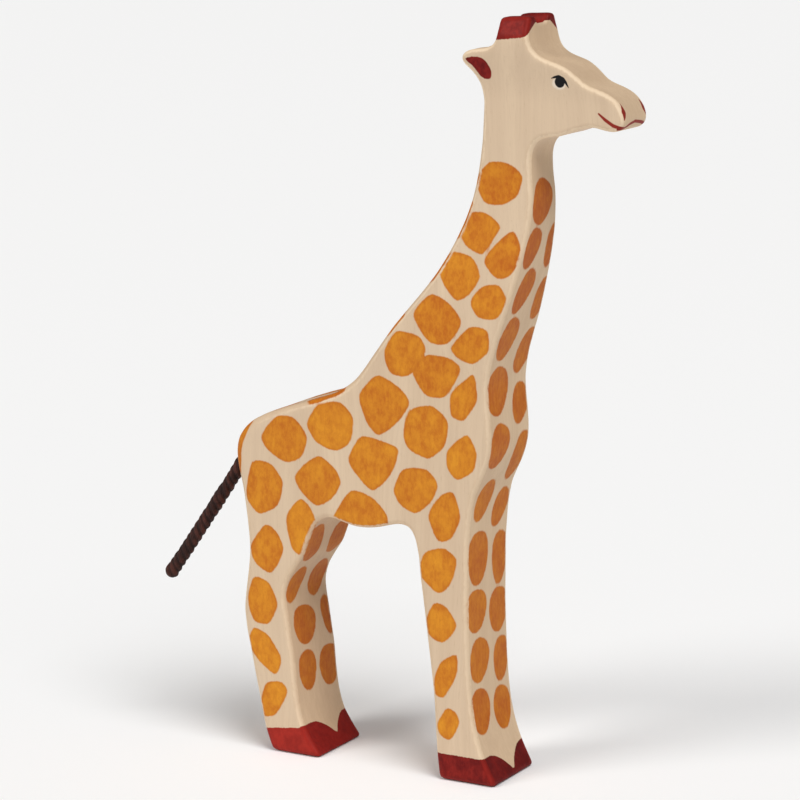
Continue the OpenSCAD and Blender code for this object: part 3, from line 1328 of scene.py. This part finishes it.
@dataclass(frozen=True)
class SawnBody:
    """The one-piece wooden body, sawn from a board and softened by hand.

    Args:
        board: How thick it is at each height.
        spacing: Distance between points of its profile.
        across: Steps through the thickness.
        unevenness: How far sanding left the faces from flat.
        rump_swell: How far the rounded rump stands proud of the drawn profile.
        horn_groove: Width and depth of the groove between the horns.
        horn_from: The x from which it runs forwards.
        horn_rise: Height over which it deepens.
        ear_groove: Width and depth of the groove between the ears.
        ear_corner: The x up to which it runs, and its lowest height.
        ring_insets: Distances of the mesh's rings from its profile.
        head_from: Height from which the mesh is finer.
    """

    board: Board = Board()
    spacing: float = 0.6
    across: int = 30
    unevenness: float = 0.12
    rump_swell: float = 1.8
    horn_groove: Point = (7.6, 2.3)
    horn_from: float = 21.5
    horn_rise: float = 6.0
    ear_groove: Point = (8.0, 2.8)
    ear_corner: Point = (19.0, 195.5)
    ring_insets: tuple[float, ...] = (0.1, 0.35, 0.75, 1.2, 1.7, 2.3)
    head_from: float = 178.0

    def build(self, material: bpy.types.Material) -> bpy.types.Object:
        """Make the body and paint its marks.

        Args:
            material: The painted wood.

        Returns:
            The body.
        """
        raw = Outline.of_node("body", -5.5)
        outline = raw.softened(self.spacing, 28.0, 6).swollen(self.rump_swell)
        flat, triangles = self._side(outline)
        verts, faces = self._solid(outline, flat, triangles)
        body = mesh_object("painted_body", verts, faces, material)
        self._drill(body)
        self._paint(body, outline)
        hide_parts("body")
        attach(body, "root")
        return body

    def _side(self, outline: Outline) -> tuple[np.ndarray, list[list[int]]]:
        """Triangulate the inside of the profile.

        Args:
            outline: The fine profile.

        Returns:
            Points in the plane, the profile's first, and triangles that run
            anticlockwise in x and z.
        """
        rings = []
        for inset in self.ring_insets:
            ring = outline.points - outline.outward * inset
            rings.append(ring[outline.distance(ring) > inset * 0.96])
        (left, _), (right, high) = outline.points.min(axis=0), outline.points.max(axis=0)
        patches = [MOUTH_PATCH, EYE_PATCH]
        for step, floor, top in ((0.5, self.head_from, high), (0.9, 0.0, self.head_from)):
            patches.insert(0, Patch((left, floor), (right, top), step, step * 0.87, 2.8))
        grids = []
        for patch in patches:
            grid = patch.points()
            grids.append(grid[outline.distance(grid) > patch.margin])
        points = np.vstack([outline.points, *rings, *grids])
        count = len(outline.points)
        loop = list(range(count))[::-1]
        out = delaunay_2d_cdt([Vector(p) for p in points], [], [loop], 1, 1e-6)
        if len(out[0]) != len(points):
            raise RuntimeError("the profile crosses itself")
        return points, [list(t) for t in out[2]]

    def _solid(
        self, outline: Outline, flat: np.ndarray, triangles: list[list[int]]
    ) -> tuple[np.ndarray, list[Sequence[int]]]:
        """Join both side faces with the sawn face between them.

        Args:
            outline: The fine profile.
            flat: Points of a side face in x and z.
            triangles: Its triangles.

        Returns:
            Points and faces of the closed body.
        """
        radius = outline.edge_radius(flat, self.board.edge)
        inset = np.clip(outline.distance(flat), 0, radius)
        inset[: len(outline.points)] = 0
        drop = radius - np.sqrt(np.maximum(radius**2 - (radius - inset) ** 2, 0))
        half = self.board.half(flat[:, 1]) - drop
        count, n = len(flat), len(outline.points)
        near = np.column_stack([flat[:, 0], -half, flat[:, 1]])
        far = np.column_stack([flat[:, 0], half, flat[:, 1]])
        rows = [np.arange(n)]
        strips = []
        for j in range(1, self.across):
            t = j / self.across
            y = half[:n] * (2 * t - 1)
            strips.append(np.column_stack([outline.points[:, 0], y, outline.points[:, 1]]))
            rows.append(2 * count + (j - 1) * n + np.arange(n))
        rows.append(count + np.arange(n))
        verts = np.vstack([near, far, *strips])
        faces: list[Sequence[int]] = list(triangles)
        faces += [[count + i for i in reversed(t)] for t in triangles]
        for lower, upper in zip(rows, rows[1:]):
            for i in range(n):
                k = (i + 1) % n
                faces.append((int(lower[i]), int(lower[k]), int(upper[k]), int(upper[i])))
        return self._sanded(self._grooved(verts)), faces

    def _grooved(self, verts: np.ndarray) -> np.ndarray:
        """Press in the grooves that part the two horns and the two ears.

        Args:
            verts: The body's points.

        Returns:
            The moved points.
        """
        out = verts.copy()
        x, y, z = verts.T

        def hollow(width: float, depth: float) -> np.ndarray:
            """Depth of a groove along the middle of the board."""
            t = np.clip((width / 2 + 0.5 - np.abs(y)) / 1.9, 0, 1)
            return depth * t * t * (3 - 2 * t)

        foot = self.board.height - self.horn_rise
        share = np.clip((z - foot) / self.horn_rise, 0, 1)
        horns = (x > self.horn_from) & (z > foot)
        out[:, 2] -= np.where(horns, hollow(*self.horn_groove) * share, 0)
        front, low = self.ear_corner
        share = np.clip((front - x) / 8.4, 0, 1)
        rise = np.clip((z - low) / 3.0, 0, 1)
        ears = (x < front) & (z > low)
        out[:, 0] += np.where(ears, hollow(*self.ear_groove) * share * rise, 0)
        return out

    def _sanded(self, verts: np.ndarray) -> np.ndarray:
        """Leave the faces slightly uneven, but keep the soles on the ground.

        Args:
            verts: The body's points.

        Returns:
            The moved points.
        """
        out = verts.copy()
        elsewhere = (Vector((0, 0, 0)), Vector((7.3, 1.9, 4.1)), Vector((3.7, 9.1, 0.4)))
        for i, (x, y, z) in enumerate(verts):
            at = Vector((x * 0.05, y * 0.09, z * 0.05))
            keep = (1.0, min(1.0, abs(y) / 6.0), min(1.0, z / 6.0))
            for k in range(3):
                out[i, k] += noise.noise(at + elsewhere[k]) * self.unevenness * keep[k]
        out[:, 2] = np.maximum(out[:, 2], 0)
        return out

    def _drill(self, body: bpy.types.Object) -> None:
        """Cut the blind hole for the tail.

        Args:
            body: The body.
        """
        hole = TailHole()
        n = hole.sides
        profile = ((-6.0, hole.radius), (hole.depth, hole.radius), (hole.depth + 1.5, 0.05))
        verts = hole.rings(profile)
        faces = band_faces(len(profile), n)
        faces += [tuple(range(n)), tuple(range(3 * n - 1, 2 * n - 1, -1))]
        cutter = mesh_object("drill", np.array(verts), faces, body.data.materials[0])
        fixed = bmesh.new()
        fixed.from_mesh(cutter.data)
        bmesh.ops.recalc_face_normals(fixed, faces=fixed.faces)
        fixed.to_mesh(cutter.data)
        fixed.free()
        modifier = body.modifiers.new("drilled", "BOOLEAN")
        modifier.operation = "DIFFERENCE"
        modifier.object = cutter
        modifier.solver = "MANIFOLD"
        bpy.context.view_layer.update()
        cut = body.evaluated_get(bpy.context.evaluated_depsgraph_get())
        mesh = bpy.data.meshes.new_from_object(cut)
        body.modifiers.clear()
        body.data = mesh
        bpy.data.objects.remove(cutter)

    def _paint(self, body: bpy.types.Object, outline: Outline) -> None:
        """Store how far each vertex is from the edge of each mark.

        Args:
            body: The finished mesh.
            outline: The fine profile.
        """
        vertices = body.data.vertices
        at, normals = np.empty(len(vertices) * 3), np.empty(len(vertices) * 3)
        vertices.foreach_get("co", at)
        vertices.foreach_get("normal", normals)
        marks = Marks(at.reshape(-1, 3) / MM, normals.reshape(-1, 3), outline, self.board)
        for layer, values in marks.paint().items():
            store(body, layer.value, values)


@dataclass(frozen=True)
class TailHole:
    """Blind hole in the rump, sloping up and forwards.

    Args:
        mouth: Where its axis meets the rump, in x and z.
        slope: Its slope in degrees.
        radius: Its radius.
        depth: Its depth to the shoulder of the drill point.
        sides: Points round it.
    """

    mouth: Point = (-59.0, 86.2)
    slope: float = 31.0
    radius: float = 2.5
    depth: float = 12.0
    sides: int = 48

    def point(self, along: float, out: float, turn: float) -> Point3:
        """A place in or near the hole.

        Args:
            along: Distance from the mouth into the wood.
            out: Distance from the axis.
            turn: Angle round the axis, 0 towards the top.

        Returns:
            The point.
        """
        c, s = math.cos(math.radians(self.slope)), math.sin(math.radians(self.slope))
        up = out * math.cos(turn)
        return (
            self.mouth[0] + along * c - up * s,
            out * math.sin(turn),
            self.mouth[1] + along * s + up * c,
        )

    def rings(self, profile: Sequence[Point]) -> list[Point3]:
        """Place rings round the hole's axis.

        Args:
            profile: How far in each one is, and its radius.

        Returns:
            The points, one ring after another.
        """
        turns = [math.tau * s / self.sides for s in range(self.sides)]
        return [self.point(along, radius, turn) for along, radius in profile for turn in turns]


class Marks:
    """Works out the painted marks on the body."""

    # How light the red stain is on each part.
    HORN_TONE, EAR_TONE = 0.45, 0.0
    FRONT_HOOF_TONE, REAR_HOOF_TONE = 0.15, 1.3
    # How deep a mark on a side face reaches round its softened edge.
    SIDE_DEPTH = 1.5
    # Painted shade under the chin: the spots on the front are darker from this height up, fully so
    # after the rise.
    DARKER_FROM, DARKER_RISE, DARKER = 105, 50, 0.9
    # Height of the horns' stain at the back, and its slope.
    HORN_FOOT = (208.6, 0.12)
    # Bare forehead in front of the horns: its height at the edges, its slope,
    # its greatest height and the x where it starts.
    FOREHEAD = (209.8, 0.64, 213.1, 29.8)
    # Range of each far mark's shift and size, and of the spots' depth.
    FAR_SHIFT, FAR_SIZE = (-0.7, 0.7), (0.9, 1.0)
    SIDE_TONE, SAWN_TONE = (-0.15, 0.35), (0.5, 1.2)

    def __init__(
        self, at: np.ndarray, normals: np.ndarray, outline: Outline, board: Board
    ) -> None:
        """Measure where each vertex lies on the body.

        Args:
            at: The body's vertices in millimetres.
            normals: Their normals.
            outline: The fine profile.
            board: How thick the body is at each height.
        """
        self.at = at
        self.normals = normals
        self.outline = outline
        self.half = board.half(at[:, 2])
        self.flat = at[:, [0, 2]]
        self.edge = outline.edge_radius(self.flat, board.edge)
        extra = self.edge - board.edge
        self.behind = np.clip(extra / outline.BACK_EXTRA, 0, 1)
        self.rump = np.clip((extra - outline.BACK_EXTRA) / 1.2, 0, 1)
        self.inset = outline.distance(self.flat)
        self.off_side = self.half - np.abs(at[:, 1]) - self.SIDE_DEPTH
        self.random = random.Random(SEED)

    def paint(self) -> dict[Layer, np.ndarray]:
        """Work out every layer.

        Returns:
            One number for each vertex, by layer.
        """
        spots, tones = self._spots()
        x, z = self.flat.T
        crown = np.where(x > BEHIND_HORNS, self.HORN_TONE, self.EAR_TONE)
        hooves = np.where(x < BETWEEN_LEGS, self.REAR_HOOF_TONE, self.FRONT_HOOF_TONE)
        dyed = np.where(z > 150, crown, hooves)
        red = self._red()
        tones = np.where(red < 0.5, dyed, tones)
        return {
            Layer.SPOT: spots,
            Layer.TONE: tones,
            Layer.RED: red,
            Layer.LINE: self._lines(),
            Layer.EYE: self._eye(),
            Layer.HALO: self._halo(),
            Layer.ROUND: self._rounded(),
            Layer.SAWN: 1 - np.clip(self.inset / self.edge, 0, 1),
        }

    def _rounded(self) -> np.ndarray:
        """Work out where the softened edges are.

        Returns:
            For each vertex 1 on the middle of such an edge and 0 on the faces.
        """
        turn = np.clip(self.inset / self.edge, 0, 1)
        peak = 0.3 + 0.35 * self.behind
        inner = 1 - (turn - peak) / (1 - peak)
        outer = (1 - 0.3 * (1 - turn / peak)) * (turn / peak) ** (2.5 * self.behind)
        from_side = self.half - np.abs(self.at[:, 1])
        sawn = 1 - np.clip((from_side - self.edge) / 0.6, 0, 1)
        return np.where(turn > peak, inner, outer) * sawn * (1 - self.rump)

    def _blob(
        self, blob: Blob, side: int, shift: Point = (0.0, 0.0), grow: float = 1.0
    ) -> np.ndarray:
        """Work out a mark on one side face.

        Args:
            blob: The mark.
            side: -1 for the near face, 1 for the far one.
            shift: How far it is moved.
            grow: How much larger it is than drawn.

        Returns:
            Distance of each vertex to its edge, negative inside.
        """
        curve = soft_polygon(blob.points)
        middle = curve.mean(axis=0)
        curve = middle + (curve - middle) * grow + np.array(shift)
        out = np.full(len(self.at), FAR)
        low, high = curve.min(axis=0) - 3, curve.max(axis=0) + 3
        depth = self.half - side * self.at[:, 1]
        ok = np.all((self.flat > low) & (self.flat < high), axis=1) & (depth < 4)
        out[ok] = np.maximum(signed_distance(self.flat[ok], curve), depth[ok] - self.SIDE_DEPTH)
        return out

    def _leaf(self, face: Face, leaf: Leaf) -> np.ndarray:
        """Work out a long spot on a sawn face.

        Args:
            face: The face.
            leaf: The spot.

        Returns:
            Distance of each vertex to its edge, negative inside.
        """
        centre, way = self.outline.place(face, leaf.z)
        off = self.flat - centre
        up = off @ way
        out = np.abs(off @ np.array([-way[1], way[0]]))
        lean = math.radians(leaf.lean)
        across = self.at[:, 1] - leaf.y
        u = (across * math.cos(lean) - up * math.sin(lean)) / (leaf.wide / 2)
        v = (across * math.sin(lean) + up * math.cos(lean)) / (leaf.long / 2)
        tip = 1 + 0.16 * v
        size = (np.abs(u / tip) ** 2.3 + np.abs(v) ** 2.1) ** 0.45
        near = np.hypot(u, v) < 3
        bowed = out - 1.0 - 2.4 * self.rump - 0.03 * up * up
        surface = np.maximum((size - 1) * leaf.wide / 2, bowed)
        sawn = self.inset - (0.3 + 0.3 * self.behind + 0.3 * self.rump) * self.edge
        return np.where(near, np.maximum(surface, sawn), FAR)

    def _spots(self) -> tuple[np.ndarray, np.ndarray]:
        """Work out all spots.

        Returns:
            Distance of each vertex to the nearest one's edge, and how dark
            that spot is.
        """
        draw = self.random.uniform
        best = np.full(len(self.at), FAR)
        tone = np.zeros(len(self.at))

        def lay(values: np.ndarray, depth: float) -> None:
            """Add one spot to those that are there.

            Args:
                values: Distance of each vertex to its edge.
                depth: How dark it is.
            """
            nonlocal best, tone
            nearer = values < best
            tone = np.where(nearer, depth, tone)
            best = np.minimum(best, values)

        for side in (-1, 1):
            for blob in SIDE_SPOTS:
                shift, grow = (0.0, 0.0), 1.0
                if side > 0:
                    shift = (draw(*self.FAR_SHIFT), draw(*self.FAR_SHIFT))
                    grow = draw(*self.FAR_SIZE)
                height = max(point[1] for point in blob.points)
                depth = height / 230 + draw(*self.SIDE_TONE)
                lay(self._blob(blob, side, shift, grow), depth)
        for face, leaves in LEAVES.items():
            for leaf in leaves:
                depth = draw(*self.SAWN_TONE)
                # Painted shade: front spots high on the neck are darkened where the chin's shadow
                # falls.
                if face is Face.FRONT:
                    share = (leaf.z - self.DARKER_FROM) / self.DARKER_RISE
                    depth += self.DARKER * min(1.0, max(0.0, share))
                lay(self._leaf(face, leaf), depth)
        return best, tone

    def _red(self) -> np.ndarray:
        """Work out the hooves, the horns and the ears.

        Returns:
            Distance of each vertex to their edge, negative inside.
        """
        x, y, z = self.at.T
        facing = np.clip((self.normals[:, 0] - 0.2) / 0.3, 0, 1)
        facing = np.where(self.inset > 1.2, 0, facing)
        tops = (FRONT_HOOF.height(x, y, facing), REAR_HOOF.height(x, y, facing))
        hooves = z - np.where(x > BETWEEN_LEGS, *tops)
        foot = self.HORN_FOOT[0] + self.HORN_FOOT[1] * (x - 22.3)
        low, slope, high, behind = self.FOREHEAD
        bare = np.minimum(low + slope * (9.5 - np.abs(y)), high)
        forehead = 2 * np.minimum(bare - z, x - behind)
        horns = np.where(x < BEHIND_HORNS, FAR, np.maximum(foot - z, forehead))
        ears = np.minimum(self._blob(EAR_PATCH, -1), self._blob(EAR_PATCH, 1))
        return np.clip(np.minimum(np.minimum(hooves, horns), ears), -FAR, FAR)

    @staticmethod
    def _stroke(at: np.ndarray, stroke: Sequence[Point3]) -> np.ndarray:
        """Signed distance of points on a face to a brush stroke.

        Args:
            at: The points, in the same two coordinates as the stroke.
            stroke: The stroke's places and half widths.

        Returns:
            Distances, negative inside.
        """
        out = np.full(len(at), FAR)
        for (ax, az, wa), (bx, bz, wb) in zip(stroke, stroke[1:]):
            a, ab = np.array([ax, az]), np.array([bx - ax, bz - az])
            t = np.clip((at - a) @ ab / (ab @ ab), 0, 1)
            reach = np.linalg.norm(at - a - t[:, None] * ab, axis=1)
            out = np.minimum(out, reach - (wa + (wb - wa) * t))
        return out

    def _lines(self) -> np.ndarray:
        """Work out the mouth and the nostrils.

        Returns:
            Distance of each vertex to their edge, negative inside.
        """
        across = np.column_stack([self.at[:, 1], self.at[:, 2]])
        ahead = self.at[:, 0] > 54
        lips = np.where(ahead & (self.normals[:, 0] > 0.25), 0.0, FAR)
        nose = np.where(ahead & (self.inset < 1.2), 0.0, FAR)
        side = np.maximum(self._stroke(self.flat, MOUTH_SIDE), self.off_side)
        out = np.minimum(side, self._stroke(across, MOUTH_FRONT) + lips)
        for flip in (-1, 1):
            out = np.minimum(out, self._stroke(across * (flip, 1), NOSTRIL) + nose)
        return out

    def _eye(self) -> np.ndarray:
        """Work out the pupil and the upper lid on both sides.

        Returns:
            Distance of each vertex to their edge, negative inside.
        """
        x, z, radius = PUPIL
        pupil = np.linalg.norm(self.flat - (x, z), axis=1) - radius
        out = np.minimum(pupil, self._stroke(self.flat, LASH))
        return np.clip(np.maximum(out, self.off_side), -FAR, FAR)

    def _halo(self) -> np.ndarray:
        """Work out the white of the eye under its lid.

        Returns:
            Distance of each vertex to its edge, negative inside.
        """
        x, z, radius = PUPIL
        stretched = (self.flat - (x - 0.2, z - 0.35)) * (0.78, 1.0)
        out = np.linalg.norm(stretched, axis=1) - radius - 0.15
        return np.clip(np.maximum(out, self.off_side), -FAR, FAR)


@dataclass(frozen=True)
class TwistedCord:
    """The stiff tail: three strands laid into one cord, sealed at the end.

    Args:
        radius: Its outer radius.
        strand_off: Distance of each strand's middle from the cord's.
        strand: Radius of a strand.
        lay: Length of one full turn of the strands.
        around: Points round it.
        step: Distance between rings.
        hidden: Length inside the hole.
        route: Its centreline outside the hole, in x and z.
    """

    radius: float = 2.05
    strand_off: float = 0.52
    strand: float = 1.53
    lay: float = 7.4
    around: int = 60
    step: float = 0.3
    hidden: float = 11.5
    route: tuple[Point, ...] = (
        (-59, 86.2), (-61, 85), (-62.7, 83.8), (-64.2, 82.3), (-65.6, 80.4), (-67, 78.3),
        (-69, 75.4), (-73, 69.6), (-77, 63.8), (-81, 58), (-85, 52.3), (-89, 46.7), (-91, 43.9),
    )  # fmt: skip

    def build(self, material: bpy.types.Material) -> bpy.types.Object:
        """Args:
            material: The waxed cord's material.

        Returns:
            The cord.
        """
        path = self._path()
        verts, faces, facts = self._tube(path)
        cord = mesh_object("twisted_tail", verts, faces, material)
        for name, values in facts.items():
            store(cord, name, values)
        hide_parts("tail_cord")
        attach(cord, "root")
        return cord

    def _path(self) -> np.ndarray:
        """Draw the centreline smoothly.

        Returns:
            Its points, from the bottom of the hole to the free end.
        """
        start = TailHole().point(self.hidden, 0, 0)
        drawn = np.array([(start[0], start[2]), *self.route])
        drawn = np.vstack([drawn[:1], (drawn[0] + drawn[1]) / 2, drawn[1:]])
        fine, steps = [drawn[0]], 20
        for i in range(len(drawn) - 1):
            a, b, c, d = (drawn[min(max(i + k, 0), len(drawn) - 1)] for k in (-1, 0, 1, 2))
            m0, m1 = (c - b if i == 0 else (c - a) / 2), (d - b) / 2
            fine += [spline(b, c, m0, m1, s / steps) for s in range(1, steps + 1)]
        curve = np.array(fine)
        total = reaches(curve)[-1]
        flat = resampled(curve, np.linspace(0, total, round(total / self.step)))
        return np.column_stack([flat[:, 0], np.zeros(len(flat)), flat[:, 1]])

    def _tube(
        self, path: np.ndarray
    ) -> tuple[np.ndarray, list[Sequence[int]], dict[str, np.ndarray]]:
        """Sweep the lobed section along the path.

        Args:
            path: The centreline.

        Returns:
            Points, faces and the numbers that the material reads.
        """
        way = np.gradient(path, axis=0)
        way /= np.linalg.norm(way, axis=1)[:, None]
        up = np.column_stack([-way[:, 2], np.zeros(len(way)), way[:, 0]])
        reach = reaches(path)
        total = reach[-1]
        verts, lift, turns = [], [], []
        for k, at in enumerate(reach):
            swell = 1 + 0.05 * noise.noise(Vector((at * 0.13, 2.0, 5.0)))
            twist = math.tau * at / self.lay + 0.5 * noise.noise(Vector((at * 0.2, 8.0, 1.0)))
            to_end = total - at
            swell += 0.10 * math.exp(-(((to_end - 2.0) / 1.6) ** 2))
            cap = math.sqrt(max(0.0, 1 - max(0.0, 1 - to_end / 1.9) ** 2))
            for s in range(self.around):
                turn = math.tau * s / self.around
                lobe = (turn - twist) % (math.tau / 3) - math.pi / 3
                beside = self.strand_off * math.sin(lobe)
                depth = self.strand_off * math.cos(lobe) + math.sqrt(self.strand**2 - beside**2)
                fullness = depth / self.radius
                blend = min(1.0, to_end / 2.2)
                shape = fullness * blend + 0.95 * (1 - blend)
                out = self.radius * shape * swell * cap
                at_knot = Vector((at * 0.55, 1.3 * math.cos(turn), 1.3 * math.sin(turn)))
                out += 0.12 * noise.noise(at_knot) * cap
                side = math.sin(turn) * out
                verts.append(path[k] + up[k] * (math.cos(turn) * out) + np.array([0, side, 0]))
                lift.append((fullness - 0.84) / 0.16)
                turns.append(turn - twist)
        n, m = len(path), self.around
        faces = band_faces(n, m)
        verts += [path[0], path[-1]]
        first, last = n * m, n * m + 1
        for s in range(m):
            faces.append((first, (s + 1) % m, s))
            faces.append((last, (n - 1) * m + s, (n - 1) * m + (s + 1) % m))
        lift += [0.0, 0.6]
        turns += [0.0, 0.0]
        along = np.append(np.repeat(reach, m), [0.0, total])
        facts = {
            "lift": np.array(lift),
            "turn_sin": np.sin(turns),
            "turn_cos": np.cos(turns),
            "along": along,
        }
        return np.array(verts), faces, facts


@dataclass(frozen=True)
class GlueFillet:
    """Dried glue round the cord, just inside the mouth of its hole.

    Args:
        inner: Radius at the cord.
        outer: Radius at the wood.
        depth: How far into the hole it goes.
        proud: How far out of it the rounded rump brings it.
    """

    inner: float = 1.75
    outer: float = 2.47
    depth: float = 6.0
    proud: float = 1.1

    def build(self, material: bpy.types.Material) -> bpy.types.Object:
        """Make the glue.

        Args:
            material: Its material.

        Returns:
            The glue.
        """
        hole = TailHole()
        slant = math.tan(math.radians(hole.slope))
        verts: list[Point3] = []
        count = hole.sides
        profile = (
            (self.depth, self.inner), (0.9, self.inner), (0.45, 1.95), (0.75, 2.2),
            (0.8, self.outer), (self.depth, self.outer),
        )  # fmt: skip
        for along, radius in profile:
            for s in range(count):
                turn = math.tau * s / count
                lean = radius * math.cos(turn) * slant if along < self.depth else 0.0
                wave = 0.12 * math.sin(3 * turn + 1.0) if 0.4 < along < 0.8 else 0.0
                verts.append(hole.point(along + lean + wave - self.proud, radius, turn))
        # The last ring joins the first one again.
        around = band_faces(len(profile) + 1, count)
        faces = [tuple(i % len(verts) for i in face) for face in around]
        glue = mesh_object("glue_fillet", np.array(verts), faces, material)
        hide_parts("tail_glue")
        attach(glue, "root")
        return glue


def aimed(name: str, data: bpy.types.ID, place: Point3, aim: Point3) -> bpy.types.Object:
    """Put a light or a camera into the scene.

    Args:
        name: Its name.
        data: Its data.
        place: Where it is, in metres.
        aim: Where it points.

    Returns:
        The object.
    """
    obj = bpy.data.objects.new(name, data)
    obj.location = place
    way = Vector(aim) - Vector(place)
    obj.rotation_euler = way.to_track_quat("-Z", "Y").to_euler()
    bpy.context.scene.collection.objects.link(obj)
    return obj


@dataclass(frozen=True)
class Light:
    """One soft, distant light.

    Args:
        name: Its name.
        place: Where it comes from, in metres.
        aim: Where it points.
        spread: How wide it looks from the figure, in degrees.
        strength: Its strength.
        colour: Its colour.
    """

    name: str
    place: Point3
    aim: Point3
    spread: float
    strength: float
    colour: Colour = (1.0, 1.0, 1.0)

    def build(self) -> None:
        """Add the light to the scene."""
        data = bpy.data.lights.new(self.name, "SUN")
        data.angle = math.radians(self.spread)
        data.energy = self.strength
        data.color = self.colour
        aimed(self.name, data, self.place, self.aim)


@dataclass(frozen=True)
class Studio:
    """Camera, lights and floor.

    Args:
        eye: Where the camera is, in metres.
        aim: Where it looks.
        lens: Its focal length on a sensor 36 mm wide.
    """

    eye: Point3 = (0.4413, -0.8192, 0.2982)
    aim: Point3 = (-0.0129, 0.0, 0.10475)
    lens: float = 153.0

    def build(self) -> None:
        """Add all of it to the scene."""
        self._camera()
        self._floor()
        self._world()
        centre = (0.0, 0.0, 0.1)
        Light("key", (-0.62, -0.95, 0.85), centre, 26.0, 1.36, (1.0, 0.99, 0.97)).build()
        Light("fill", (1.0, -0.55, 0.45), centre, 40.0, 0.05, (1.0, 0.97, 0.93)).build()
        Light("top", (0.6, -0.35, 1.1), centre, 34.0, 2.0).build()

    def _camera(self) -> None:
        """Add a camera that looks at the figure from its front right."""
        data = bpy.data.cameras.new("camera")
        data.lens = self.lens
        data.sensor_width = 36.0
        data.clip_start = 0.05
        bpy.context.scene.camera = aimed("camera", data, self.eye, self.aim)

    def _floor(self) -> None:
        """Add a plain pale floor just below the soles."""
        finish = PlainFinish((0.97, 0.97, 0.97), 0.8)
        reach = 4000.0
        corners = np.array(
            [(-reach, -reach, 0), (reach, -reach, 0), (reach, reach, 0), (-reach, reach, 0)]
        )
        floor = mesh_object("floor", corners, [(0, 1, 2, 3)], finish.build("floor"))
        floor.location.z = -0.0002

    def _world(self) -> None:
        """Add even pale surroundings."""
        world = bpy.data.worlds.new("studio")
        world.use_nodes = True
        bpy.context.scene.view_settings.view_transform = "Standard"
        shade = world.node_tree.nodes["Background"]
        shade.inputs[0].default_value = (1.0, 1.0, 1.0, 1.0)
        shade.inputs[1].default_value = 0.21
        bpy.context.scene.world = world


def main() -> None:
    """Build the scene on the CAD frame."""
    logging.basicConfig(level=logging.INFO, format="%(name)s: %(message)s")
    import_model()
    effects = Effects()
    builders: Sequence[Callable[[], object]] = (
        Studio().build,
        lambda: TwistedCord().build(WaxedCord().build("twisted_cord")),
        lambda: GlueFillet().build(DriedGlue().build("set_glue", effects)),
        lambda: SawnBody().build(PaintedWood().build("maple_wood", effects)),
    )
    for build in builders:
        build()


if __name__ == "__main__":
    main()
